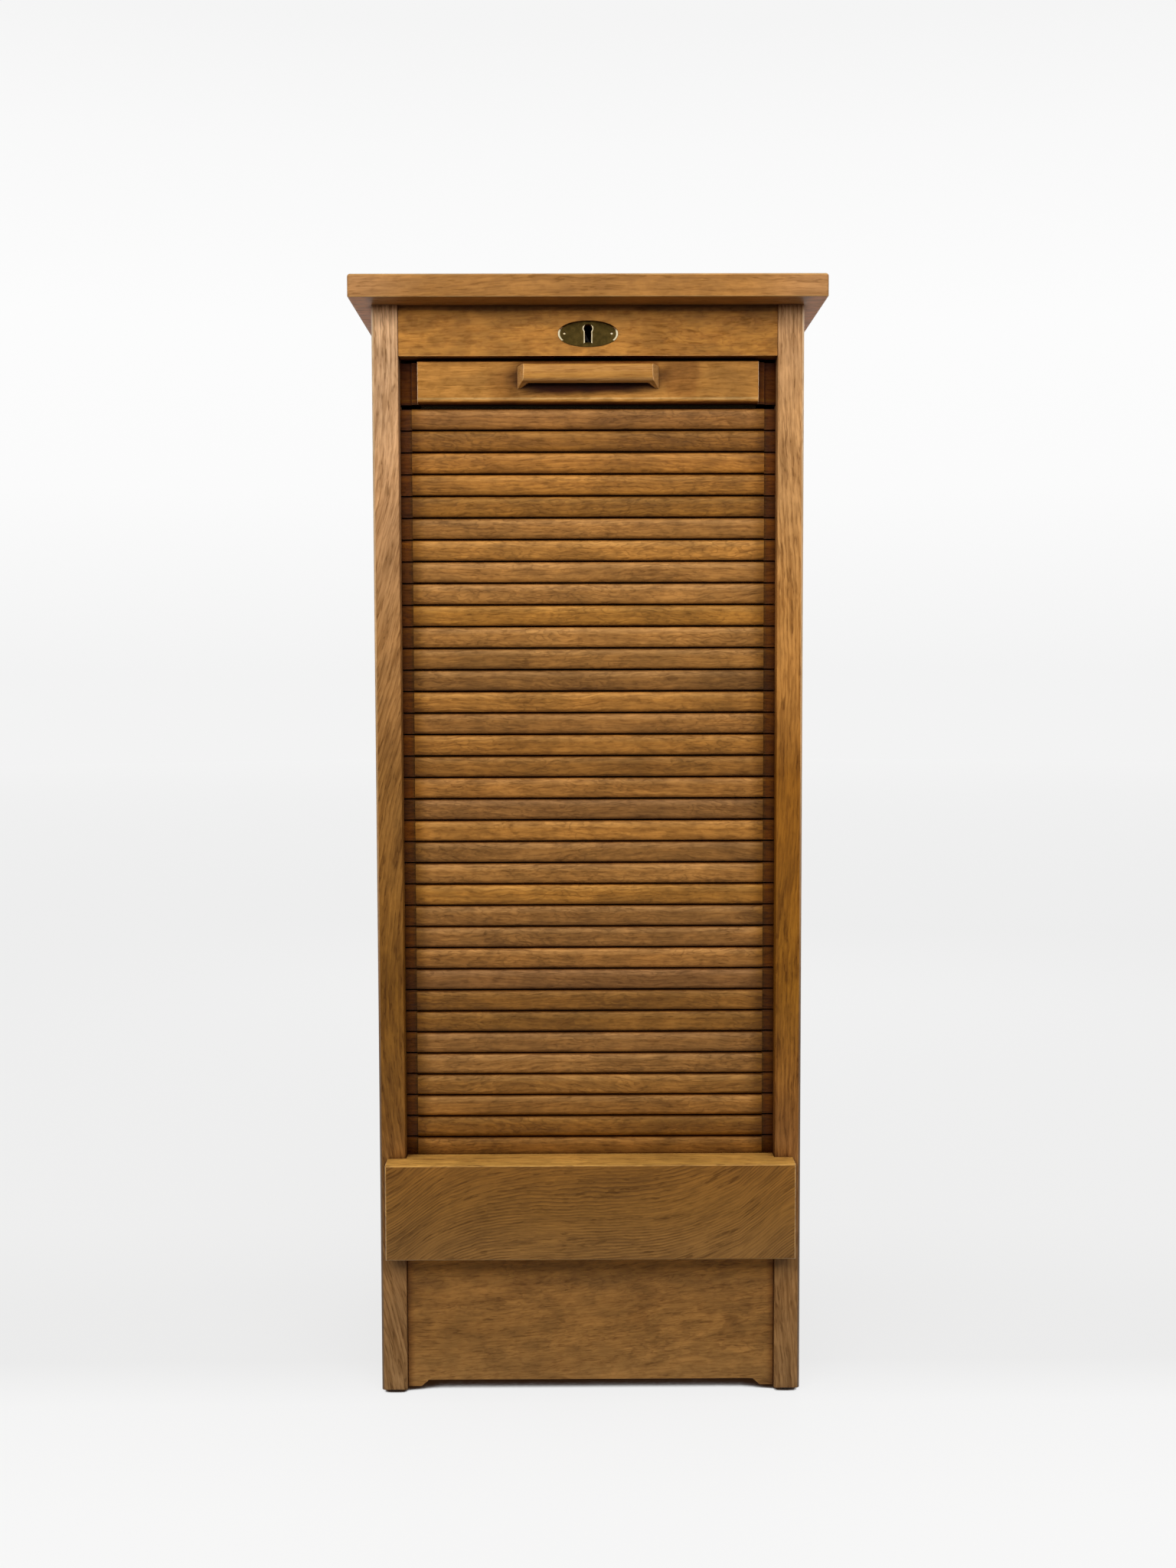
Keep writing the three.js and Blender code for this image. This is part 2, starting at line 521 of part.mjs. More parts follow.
// The handle: a moulded bar with a round nose, bevelled at both ends and along its underside,
// and hollowed from below for the fingers.
function handleBlock() {
  const back = LEAD_FRONT;
  const front = LEAD_FRONT - HANDLE_PROJECTION;
  const round = HANDLE_TOP_ROUND;
  const nose = new THREE.Vector2(HANDLE_NOSE_DEPTH, HANDLE_NOSE_HEIGHT);
  const section = new THREE.Shape();
  section.moveTo(back, HANDLE_BOTTOM);
  section.lineTo(back, HANDLE_TOP);
  section.absarc(front + round, HANDLE_TOP - round, round, 0.5 * Math.PI, Math.PI, false);
  section.absellipse(front + nose.x, HANDLE_FACE_BOTTOM + nose.y, nose.x, nose.y, Math.PI, 1.5 * Math.PI, false);
  const bar = alongX(section, -HANDLE_WIDTH / 2, HANDLE_WIDTH / 2, 6);
  const half = HANDLE_WIDTH / 2;
  const frontHalf = HANDLE_FRONT_WIDTH / 2;
  const below = HANDLE_BOTTOM - 2;
  const above = HANDLE_TOP + 2;
  const ends = wedge(
    [[-half, back, below], [-half, back, above], [half, back, below], [half, back, above]],
    [[-frontHalf, front, below], [-frontHalf, front, above], [frontHalf, front, below], [frontHalf, front, above]],
  );
  const flare = HANDLE_HOLLOW_FLARE;
  const mouth = half - HANDLE_WALL + 2 * flare;
  const roof = half - HANDLE_WALL - HANDLE_HOLLOW * flare;
  const roofHeight = HANDLE_BOTTOM + HANDLE_HOLLOW;
  const lip = front + HANDLE_LIP;
  const hollow = wedge(
    [[-mouth, lip, below], [mouth, lip, below], [-mouth, back + 1, below], [mouth, back + 1, below]],
    [[-roof, lip, roofHeight], [roof, lip, roofHeight], [-roof, back + 1, roofHeight], [roof, back + 1, roofHeight]],
  );
  return cut(shaped(solid(bar).intersect(solid(ends))), hollow);
}

// Carcase
const carcase = new THREE.Group();
cabinet.add(carcase);
add(carcase, 'top_board', topBoard(), oakTop).position.z = SIDE_TOP;
add(carcase, 'left_side', sideBoard(-1), oakFrame);
add(carcase, 'right_side', sideBoard(1), oakFrame);
add(carcase, 'top_rail', topRail(), oakFrame);
add(carcase, 'cross_board', crossBoard(), oakFrame);
add(carcase, 'plinth_panel', plinthPanel(), oakFrame);
add(carcase, 'cabinet_floor', shelfBoard(INSIDE_FRONT), oakInside).position.z = CABINET_FLOOR_TOP;
SHELF_TOPS.forEach((top, index) => {
  const shelf = shelfBoard(INSIDE_FRONT + SHELF_FRONT_SETBACK);
  add(carcase, `shelf_${index + 1}`, shelf, oakInside).position.z = top;
});
const clearHalf = INNER_HALF - FIT;
add(carcase, 'false_back', board(
  -clearHalf, clearHalf, FALSE_BACK_FRONT, FALSE_BACK_FRONT + FALSE_BACK_THICKNESS,
  CABINET_FLOOR_TOP - BOARD_THICKNESS, SIDE_TOP - FIT,
), plywood);
const backHalf = INNER_HALF + BACK_REBATE - FIT;
add(carcase, 'back_panel', board(
  -backHalf, backHalf, BACK - BACK_THICKNESS, BACK, BASE_FLOOR_BOTTOM, SIDE_TOP - FIT,
), plywood);
add(carcase, 'base_floor', board(
  -clearHalf, clearHalf, FRONT + PLINTH_SETBACK + PLINTH_THICKNESS + FIT, BACK - BACK_THICKNESS - FIT,
  BASE_FLOOR_BOTTOM, BASE_FLOOR_TOP,
), plywood);

// Glides under the four corners
const glideX = (BODY_WIDTH - SIDE_THICKNESS) / 2;
for (const [side, x] of [['left', -glideX], ['right', glideX]]) {
  for (const [end, y] of [['front', FRONT + GLIDE_INSET], ['rear', BACK - GLIDE_INSET]]) {
    const radius = GLIDE_DIAMETER / 2;
    const disc = new THREE.CylinderGeometry(radius, radius - 1, GLIDE_HEIGHT - FIT / 3, 24).rotateX(Math.PI / 2);
    const glide = add(carcase, `glide_${end}_${side}`, disc, felt);
    glide.position.set(x, y, (GLIDE_HEIGHT - FIT / 3) / 2);
  }
}

// Lock
const lock = new THREE.Group();
cabinet.add(lock);
add(lock, 'lock_case', lockCase(), steel);
add(lock, 'hook_bolt', hookBolt(), steel).position.set(HOOK_PIVOT_X, 0, HOOK_PIVOT_HEIGHT);
add(lock, 'escutcheon', escutcheonPlate(), brass).position.set(0, RAIL_FRONT, LOCK_CENTRE_HEIGHT);

// Shutter
const shutter = new THREE.Group();
cabinet.add(shutter);
add(shutter, 'lead_rail', leadRail(), oakFrame);
add(shutter, 'handle', handleBlock(), oakFrame);
add(shutter, 'strike_plate', strikePlate(), brass).position.set(0, HOOK_PLANE, LEAD_TOP);
for (let index = 0; index < SLAT_COUNT; index += 1) {
  const number = String(index + 1).padStart(2, '0');
  const centre = FIRST_GAP_LINE + SLAT_PITCH / 2 - index * SLAT_PITCH;
  add(shutter, `slat_${number}`, slat(), oakSlat).position.z = centre;
}
const canvasBottom = FIRST_GAP_LINE - (CANVAS_SLATS - 1) * SLAT_PITCH;
add(shutter, 'canvas', board(
  -CANVAS_WIDTH / 2, CANVAS_WIDTH / 2, SLAT_BACK + FIT, SLAT_BACK + FIT + CANVAS_THICKNESS,
  canvasBottom, LEAD_TOP - 4,
), canvas);

export default cabinet;
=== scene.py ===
"""Oak tambour door cabinet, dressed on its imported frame.

Metres, X to the right, Y to the back, Z up, the shutter closed. The file follows the cabinet
as it is put together: carcase, front frame, lock, shutter, glides, and then the studio.
"""

import math

import bmesh
import bpy
from mathutils import Matrix, Vector


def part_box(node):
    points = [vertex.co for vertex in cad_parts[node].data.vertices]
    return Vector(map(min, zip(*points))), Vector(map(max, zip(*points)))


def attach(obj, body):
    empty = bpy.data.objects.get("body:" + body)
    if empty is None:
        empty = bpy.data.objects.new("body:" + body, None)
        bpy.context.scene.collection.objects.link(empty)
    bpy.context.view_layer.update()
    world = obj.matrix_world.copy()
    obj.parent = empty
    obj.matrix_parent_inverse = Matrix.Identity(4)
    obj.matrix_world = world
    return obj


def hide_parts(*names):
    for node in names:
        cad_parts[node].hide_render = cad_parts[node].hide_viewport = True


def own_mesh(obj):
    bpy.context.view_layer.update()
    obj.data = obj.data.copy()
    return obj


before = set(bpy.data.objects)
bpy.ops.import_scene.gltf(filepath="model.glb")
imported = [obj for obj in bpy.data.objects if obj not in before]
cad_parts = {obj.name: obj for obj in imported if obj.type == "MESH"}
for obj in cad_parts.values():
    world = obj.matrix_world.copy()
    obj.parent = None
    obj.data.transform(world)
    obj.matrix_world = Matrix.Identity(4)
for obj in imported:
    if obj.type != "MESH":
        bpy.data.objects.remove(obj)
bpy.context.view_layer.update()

# Side boards: solid oak planks that carry everything. Their front edges are the two uprights.
# They are planed, stained brown and rubbed with wax; the groove for the shutter and the
# housings for the shelves are cut in their inner faces before they are glued up.
SIDE_ARRIS = 0.0007
SIDE_PALE = "#bf8952"
SIDE_BROWN = "#7e5125"
SIDE_PORE = "#4e2a0c"
SIDE_ARRIS_SHEEN = "#c39a6b"


def stain(hex_colour):
    """A colour as it is mixed, in sRGB hex, as the linear colour that the renderer takes."""
    channels = [int(hex_colour[i:i + 2], 16) / 255 for i in (1, 3, 5)]
    linear = [c / 12.92 if c <= 0.04045 else ((c + 0.055) / 1.055) ** 2.4 for c in channels]
    return (*linear, 1.0)


def feed(node, links):
    """Gives a node's inputs their values; an output is linked, and a node stands for its own output."""
    for socket, value in links.items():
        if isinstance(value, bpy.types.Node):
            value = next(output for output in value.outputs if output.enabled)
        if isinstance(value, bpy.types.NodeSocket):
            node.id_data.links.new(value, node.inputs[socket])
        else:
            node.inputs[socket].default_value = value


def put(tree, kind, links=None, **settings):
    """Adds one node with its settings, by name, and its links."""
    made = tree.nodes.new(kind)
    for name, value in settings.items():
        setattr(made, name, value)
    feed(made, links or {})
    return made


def bare(name):
    """A new material: itself, its nodes, its shader, and where each point is on the piece."""
    material = bpy.data.materials.new(name)
    material.use_nodes = True
    tree = material.node_tree
    return material, tree, tree.nodes["Principled BSDF"], put(tree, "ShaderNodeTexCoord").outputs["Object"]


def graded(tree, value, stops, curve="LINEAR"):
    """Tones that follow a value through these stops: its low end, its high end, then those between."""
    (low, *_), (high, *_) = stops[:2]
    share = put(tree, "ShaderNodeMapRange", {"Value": value, 1: low, 2: high})
    ramp = put(tree, "ShaderNodeValToRGB", {0: share})
    ramp.color_ramp.interpolation = curve
    for index, (at, *tone) in enumerate(stops):
        spot = (at - low) / (high - low)
        stop = ramp.color_ramp.elements[index] if index < 2 else ramp.color_ramp.elements.new(spot)
        stop.color = (*(tone * 3)[:3], 1)
    return ramp


def stained_oak(name, pale, brown, pore, along="x", pith=(0, 0, 0), lean=0.0, ring=0.005, wander=0.004,
                rings=0.6, streaks=0.5, pores=0.6, flecks=0.2, clouds=0.16, flames=0.0, seed=0.0, bend=(),
                height_tones=(), end_shade=(), local_tints=(), corners=(0.018, 0.30, 0.74), rough=0.42, shine=0.15,
                each_slat=()):
    """Oak under a brown stain and wax: rings with open pores, ray flecks and cloudy stain.

    The rings are cylinders round a pith line, so a board shows straight stripes far from it and
    arches near it; `bend` makes them wander sideways along the board. Pores are drawn about twice
    their real width, or they would not show. Every inner corner is darkened by ambient occlusion,
    which is painted shade; on several pieces the local tints, end tones and tones by height are
    painted light and shade too.
    """
    as_it_is = (1, 1, 1, 1)
    soft = {"interpolation_type": "SMOOTHSTEP"}
    material, tree, shader, place = bare(name)
    upright = put(tree, "ShaderNodeSeparateXYZ", {0: place}).outputs
    start = put(tree, "ShaderNodeVectorMath", {0: place, 1: pith}, operation="SUBTRACT")
    if each_slat:
        first_line, pitch = each_slat
        down = put(tree, "ShaderNodeMath", {0: first_line, 1: upright["Z"]}, operation="SUBTRACT")
        rows = put(tree, "ShaderNodeMath", {0: down, 1: pitch}, operation="DIVIDE")
        number = put(tree, "ShaderNodeMath", {0: rows}, operation="FLOOR")
        part = put(tree, "ShaderNodeMath", {0: rows}, operation="FRACT")
        chance = put(tree, "ShaderNodeTexWhiteNoise", {"W": number}, noise_dimensions="1D").outputs
        shift = put(tree, "ShaderNodeVectorMath", {0: chance["Color"], 1: (3.0, 0.05, 0.11)},
                    operation="MULTIPLY")
        start = put(tree, "ShaderNodeVectorMath", {0: start, 1: shift}, operation="ADD")
    turn = {"x": (0, lean, 0), "z": (0, math.pi / 2 + lean, 0)}[along]
    board = put(tree, "ShaderNodeVectorRotate", {"Vector": start, "Rotation": turn},
                rotation_type="EULER_XYZ")
    if bend:
        reach = max(abs(shift) for at, shift in bend)
        run = put(tree, "ShaderNodeSeparateXYZ", {0: board}).outputs["X"]
        path = graded(tree, run, [(at, 0.5 + shift / reach / 2) for at, shift in bend], "B_SPLINE")
        sideways = put(tree, "ShaderNodeMath", {0: path, 1: 2 * reach, 2: -reach}, operation="MULTIPLY_ADD")
        aside = put(tree, "ShaderNodeCombineXYZ", {2: sideways})
        board = put(tree, "ShaderNodeVectorMath", {0: board, 1: aside}, operation="ADD")

    def grown(scale, detail=2.0, source=board):
        """Cloudy growth, with so many waves in a metre along the board and across it."""
        stretched = put(tree, "ShaderNodeVectorMath", {0: source, 1: scale}, operation="MULTIPLY")
        return put(tree, "ShaderNodeTexNoise", {"Vector": stretched, "W": seed, "Scale": 1.0,
                                                "Detail": detail}, noise_dimensions="4D").outputs

    def patches(scale, low, high, detail=2.0, source=board, least=0.0):
        """Patches where such growth is over a level, with soft edges."""
        return put(tree, "ShaderNodeMapRange", {"Value": grown(scale, detail, source)["Fac"],
                                                1: low, 2: high, 3: least}, **soft)

    curved = board
    for scale, detail, reach in (((3, 9, 9), 1.0, wander * 6), ((14, 38, 38), 2.0, wander),
                                 ((55, 75, 75), 1.0, wander * 0.45)):
        centred = put(tree, "ShaderNodeVectorMath", {0: grown(scale, detail)["Color"], 1: (0.5, 0.5, 0.5)},
                      operation="SUBTRACT")
        pushed = put(tree, "ShaderNodeVectorMath", {0: centred, 1: (0, reach, reach)}, operation="MULTIPLY")
        curved = put(tree, "ShaderNodeVectorMath", {0: curved, 1: pushed}, operation="ADD")
    across = put(tree, "ShaderNodeVectorMath", {0: curved, 1: (0, 1, 1)}, operation="MULTIPLY")
    radius = put(tree, "ShaderNodeVectorMath", {0: across}, operation="LENGTH")
    years = put(tree, "ShaderNodeMath", {0: radius, 1: ring}, operation="DIVIDE")
    year = put(tree, "ShaderNodeMath", {0: years}, operation="FRACT")
    late = put(tree, "ShaderNodeMath", {0: 1.0, 1: year}, operation="SUBTRACT")
    late = put(tree, "ShaderNodeMath", {0: late, 1: 2.2}, operation="POWER")
    rise = put(tree, "ShaderNodeMapRange", {"Value": year, 2: 0.09}, **soft)
    # Cut along the rays, oak has curled patches with a thin dark outline on one side.
    waves = put(tree, "ShaderNodeMath", {0: grown((30, 105, 105), 2.0, curved)["Fac"], 1: 8.0},
                operation="MULTIPLY")
    curl = put(tree, "ShaderNodeMath", {0: waves}, operation="FRACT")
    outline = put(tree, "ShaderNodeMapRange", {"Value": curl, 2: 0.08}, **soft)
    inside = put(tree, "ShaderNodeMapRange", {"Value": curl, 1: 0.08, 2: 0.55, 3: 1.0, 4: 0.0}, **soft)
    streak = patches((19, 210, 210), 0.46, 0.66, 2.0, curved)
    marks = []
    for mark, *shares in ((late, rise, patches((14, 34, 34), 0.35, 0.62, 1.0, least=0.25)),
                          (outline, inside, patches((10, 26, 26), 0.42, 0.58, 1.0))):
        for share in shares:
            mark = put(tree, "ShaderNodeMath", {0: mark, 1: share}, operation="MULTIPLY")
        marks.append(mark)
    band, flame = marks
    # Pores are open where the wood grew in spring, and nearly closed elsewhere.
    spring = put(tree, "ShaderNodeMath", {0: band, 1: streak}, operation="MAXIMUM")
    spring = put(tree, "ShaderNodeMath", {0: spring, 1: 0.75, 2: 0.25}, operation="MULTIPLY_ADD")
    dash = patches((85, 540, 540), 0.53, 0.63, 1.0, curved)
    dash = put(tree, "ShaderNodeMath", {0: dash, 1: spring}, operation="MULTIPLY")
    fibre = grown((45, 640, 640), 3.0, curved)["Fac"]
    fibres = put(tree, "ShaderNodeMapRange", {"Value": fibre, 1: 0.38, 2: 0.72}, **soft)
    ray = patches((120, 190, 190), 0.50, 0.64)
    cloud = grown((8, 18, 18), 3.0)["Fac"]

    colour = stain(pale)
    for mark, strength, tint in ((band, rings, brown), (streak, streaks, brown), (fibres, 0.5, brown),
                                 (ray, flecks, brown), (dash, pores, pore), (flame, flames, pore)):
        share = put(tree, "ShaderNodeMath", {0: mark, 1: strength}, operation="MULTIPLY")
        colour = put(tree, "ShaderNodeMix", {0: share, 6: colour, 7: stain(tint)}, data_type="RGBA")
    levels = [(cloud, 0.3, 0.7, clouds), (grown((36, 70, 70))["Fac"], 0.34, 0.66, flecks * 0.5)]
    if each_slat:
        levels.append((chance["Value"], 0.0, 1.0, 0.20))
        other_chance = put(tree, "ShaderNodeSeparateXYZ", {0: chance["Color"]}).outputs["Y"]
        # Each slat gets its own hue; at its top, next to the gap, painted shade, below that a painted
        # highlight on its upper rounded edge, and painted shade on its lower edge.
        for where, low, high, above, below in (
                (other_chance, 0.2, 0.8, (0.97, 1.0, 1.25, 1), (1.02, 1.0, 0.84, 1)),
                (part, 0.03, 0.13, (0.50, 0.40, 0.26, 1), as_it_is),
                (part, 0.22, 0.42, (1.26, 1.38, 1.70, 1), as_it_is),
                (part, 0.76, 0.90, as_it_is, (0.80, 0.76, 0.64, 1))):
            share = put(tree, "ShaderNodeMapRange", {"Value": where, 1: low, 2: high}, **soft)
            row_tint = put(tree, "ShaderNodeMix", {0: share, 6: above, 7: below}, data_type="RGBA")
            colour = put(tree, "ShaderNodeVectorMath", {0: colour, 1: row_tint}, operation="MULTIPLY")
    tone, *others = [
        put(tree, "ShaderNodeMapRange", {"Value": value, 1: low, 2: high, 3: 1.0 - by, 4: 1.0 + by}, **soft)
        for value, low, high, by in levels]
    for other in others:
        tone = put(tree, "ShaderNodeMath", {0: tone, 1: other}, operation="MULTIPLY")
    colour = put(tree, "ShaderNodeVectorMath", {0: colour, "Scale": tone}, operation="SCALE")

    # Painted shade: ambient occlusion darkens the colour in every inner corner and crease.
    ao_shade = put(tree, "ShaderNodeAmbientOcclusion", {"Distance": corners[0]}, samples=6).outputs["AO"]
    masked_tints = [(ao_shade, corners[1], corners[2], (0.22, 0.11, 0.04, 1), as_it_is)]
    for (x, z), (wide, high), *dark in local_tints:
        apart = put(tree, "ShaderNodeVectorMath", {0: place, 1: (x, 0, z)}, operation="SUBTRACT")
        for scale in ((1 / wide, 0, 1 / high), None):
            apart = put(tree, "ShaderNodeVectorMath", {0: apart, 1: scale or apart}, operation="MULTIPLY")
        apart = put(tree, "ShaderNodeVectorMath", {0: apart}, operation="LENGTH")
        apart = put(tree, "ShaderNodeMath", {0: apart}, operation="SQRT")
        ragged = put(tree, "ShaderNodeMath", {0: cloud, 1: 1.4, 2: -0.7}, operation="MULTIPLY_ADD")
        edge = put(tree, "ShaderNodeMath", {0: apart, 1: ragged}, operation="ADD")
        masked_tints.append((edge, 0.60, 1.15, (*dark, 1), as_it_is))
    for reach, fall, *dark in end_shade:
        out = put(tree, "ShaderNodeMath", {0: upright["X"]}, operation="ABSOLUTE")
        masked_tints.append((out, reach - fall, reach, as_it_is, (*dark, 1)))
    shares = [put(tree, "ShaderNodeMapRange", {"Value": value, 1: low, 2: high}, **soft)
              for value, low, high, *_ in masked_tints]
    tints = [put(tree, "ShaderNodeMix", {0: share, 6: under, 7: over}, data_type="RGBA")
             for share, (*_, under, over) in zip(shares, masked_tints)]
    if height_tones:
        # A ramp holds no more than 1, so its tones are a quarter of the real ones.
        ramp = graded(tree, upright["Z"], [(at, *[tone / 4 for tone in tones]) for at, *tones in height_tones])
        tints.append(put(tree, "ShaderNodeVectorMath", {0: ramp, "Scale": 4.0}, operation="SCALE"))
    for tint in tints:
        colour = put(tree, "ShaderNodeVectorMath", {0: colour, 1: tint}, operation="MULTIPLY")

    relief = put(tree, "ShaderNodeMath", {0: band, 1: -0.35}, operation="MULTIPLY")
    relief = put(tree, "ShaderNodeMath", {0: dash, 1: -1.0, 2: relief}, operation="MULTIPLY_ADD")
    relief = put(tree, "ShaderNodeMath", {0: fibre, 1: 0.25, 2: relief}, operation="MULTIPLY_ADD")
    bump = put(tree, "ShaderNodeBump", {"Strength": 0.35, "Distance": 0.0004, "Height": relief})
    gloss = rough + 0.30
    for mark, strength in ((cloud, 0.10), (dash, 0.2), (shares[0], -0.35)):
        gloss = put(tree, "ShaderNodeMath", {0: mark, 1: strength, 2: gloss}, operation="MULTIPLY_ADD")
    feed(shader, {"Base Color": colour, "Roughness": gloss, "Normal": bump, "Specular IOR Level": shine,
                  "Coat Weight": 0.05, "Coat Roughness": 0.22})
    return material


def eased(node, name, arris, finish, second_finish, segments=2, paler_faces=None):
    """A node's own shape with its triangles joined up and its arrises eased with glasspaper.

    The eased arrises, and the faces that the last argument picks, get the second finish: on some pieces worn
    wood, on others painted highlight and painted light. they get the paler finish.
    """
    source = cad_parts[node].data
    mesh = bpy.data.meshes.new(name)
    mesh.from_pydata([v.co for v in source.vertices], [], [tuple(p.vertices) for p in source.polygons])
    work = bmesh.new()
    work.from_mesh(mesh)
    bmesh.ops.remove_doubles(work, verts=work.verts, dist=2e-6)
    bmesh.ops.dissolve_limit(work, angle_limit=0.01, verts=work.verts, edges=work.edges)
    work.to_mesh(mesh)
    work.free()
    piece = rounded(name, mesh, arris, finish, second_finish, segments)
    for face in mesh.polygons:
        face.material_index = 1 if paler_faces and paler_faces(face) else 0
    return piece


def placed(name, mesh, *finishes):
    """Makes a mesh a piece with these finishes, shaded smooth between its sharp edges."""
    for face in mesh.polygons:
        face.use_smooth = True
    mesh.set_sharp_from_angle(angle=math.radians(35))
    piece = bpy.data.objects.new(name, mesh)
    bpy.context.scene.collection.objects.link(piece)
    for finish in finishes:
        mesh.materials.append(finish)
    return piece


def rounded(name, mesh, arris, finish, second_finish, segments=2):
    """A piece with a small round on each arris, where the second finish shows; on some pieces it is a painted
    highlight.
    """
    mesh.materials.clear()
    piece = placed(name, mesh, finish, second_finish)
    ease = piece.modifiers.new("eased arris", "BEVEL")
    ease.width = arris
    ease.segments = segments
    ease.limit_method = "ANGLE"
    ease.angle_limit = math.radians(40)
    ease.harden_normals = True
    ease.material = 1
    return piece


# The uprights are lighter and greyer towards the top and darkest in their lower half: partly the
# wood's own tone, partly painted light fall-off and painted sheen. Tones by height are a share of
# red, green and blue at a height: at the foot, at the top, then in between.
# A bend is how far the grain has wandered sideways at a height, in metres.
LEFT_HEIGHT_TONES = ((0.0, 0.79, 0.91, 1.08), (1.2, 1.57, 2.01, 3.25), (0.14, 0.81, 0.85, 0.87),
             (0.30, 0.46, 0.41, 0.22), (0.45, 0.52, 0.45, 0.17), (0.68, 0.68, 0.65, 0.46),
             (0.72, 0.79, 0.77, 0.64), (0.86, 0.87, 0.91, 0.98), (0.97, 1.09, 1.20, 1.55))
RIGHT_HEIGHT_TONES = ((0.0, 0.67, 0.75, 0.86), (1.2, 0.87, 1.02, 1.45), (0.14, 0.87, 0.91, 0.91),
              (0.30, 0.61, 0.52, 0.34), (0.45, 0.77, 0.64, 0.17), (0.58, 0.60, 0.47, 0.13),
              (0.68, 0.61, 0.48, 0.15), (0.86, 1.27, 1.23, 0.95), (0.97, 1.30, 1.38, 1.42))
ARRIS_SHEEN_AND_SHADE = ((0.0, 0.30, 0.30, 0.32), (1.2, 1.25, 1.50, 2.0), (0.38, 0.30, 0.28, 0.28),
              (0.50, 0.62, 0.58, 0.52), (0.72, 0.95, 0.95, 0.90))
LEFT_BEND = ((0.0, 0.030), (1.2, 0.068), (0.15, -0.015), (0.30, -0.045), (0.45, -0.055),
             (0.60, -0.042), (0.75, -0.005), (0.93, 0.052), (1.05, 0.066))
RIGHT_BEND = ((0.0, 0.010), (1.2, 0.0), (0.25, -0.012), (0.5, 0.0), (0.75, 0.018), (1.0, 0.0))
for node, hand, seed, side_height_tones, bend in (("left_side", -1, 1.0, LEFT_HEIGHT_TONES, LEFT_BEND),
                                     ("right_side", 1, 7.5, RIGHT_HEIGHT_TONES, RIGHT_BEND)):
    pith = (hand * 0.80, -0.35, 0)
    oak = stained_oak(f"waxed oak, {node}", SIDE_PALE, SIDE_BROWN, SIDE_PORE, "z", pith, ring=0.0042,
                      wander=0.0045, rings=0.8, streaks=0.6, pores=0.5, flecks=0.1, seed=seed, height_tones=side_height_tones,
                      bend=bend)
    # The outer front round and the arrises get a paler finish whose tones by height are a painted sheen high
    # up and painted shade low down.
    second_finish = stained_oak(f"waxed oak arris, {node}", SIDE_ARRIS_SHEEN, SIDE_PALE, SIDE_BROWN, "z", pith, rings=0.4,
                       streaks=0.3, pores=0.3, seed=seed, height_tones=ARRIS_SHEEN_AND_SHADE, rough=0.36, shine=0.4)
    side = eased(node, node + "_oak", SIDE_ARRIS, oak, second_finish, 2,
                 lambda face: face.normal.x * face.center.x > 0 and 0.3 < abs(face.normal.x) < 0.97 and
                 face.normal.y < -0.2)
    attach(side, "carcase")
    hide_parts(node)

# Cabinet floor and the two shelves: plain oak boards housed in the sides, sanded and left with
# one thin coat of wax, so they are paler than the outside.
INSIDE_PALE = "#c79a63"
INSIDE_BROWN = "#a97a45"
INSIDE_PORE = "#7b5228"
INSIDE_WORN = "#d3aa76"
INSIDE_ARRIS = 0.0008

inside_oak = stained_oak("waxed oak, shelves", INSIDE_PALE, INSIDE_BROWN, INSIDE_PORE, "x", (0, 0.05, 0.36),
                         0.02, ring=0.0065, rings=0.7, pores=0.45, seed=3.3, rough=0.5)
inside_worn = stained_oak("waxed oak arris, shelves", INSIDE_WORN, INSIDE_PALE, INSIDE_BROWN, seed=3.3)
for node in ("cabinet_floor", "shelf_1", "shelf_2"):
    shelf = eased(node, node + "_oak", INSIDE_ARRIS, inside_oak, inside_worn)
    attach(shelf, "carcase")
    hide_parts(node)

# Back panel, false back and base floor: rotary-cut plywood, left bare and gone yellow with age.
# The back lies in the rebates of the sides and is held by slotted brass screws round its edge;
# the other two close in the stored shutter.
PLY_PALE = "#c2a070"
PLY_BROWN = "#a07a48"
PLY_LINE = "#7d5a30"
PLY_WORN = "#cdb084"
PLY_ARRIS = 0.0005
SCREW_HEAD = 0.0036
SCREW_PROUD = 0.0001
SCREW_SLOT = 0.0008
SCREW_EDGE = 0.012
SCREW_SPACING = 0.16
END_SCREW = 0.07

plywood = stained_oak("bare plywood", PLY_PALE, PLY_BROWN, PLY_LINE, "z", (0.03, 0.62, 0), 0.02,
                      ring=0.016, wander=0.012, rings=0.55, streaks=0.25, pores=0.2, flecks=0.05, seed=9.1,
                      rough=0.62)
ply_edge = stained_oak("bare plywood arris", PLY_WORN, PLY_PALE, PLY_BROWN, seed=9.1, rough=0.65)
for node in ("false_back", "back_panel", "base_floor"):
    panel = eased(node, node + "_ply", PLY_ARRIS, plywood, ply_edge)
    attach(panel, "carcase")
    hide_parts(node)


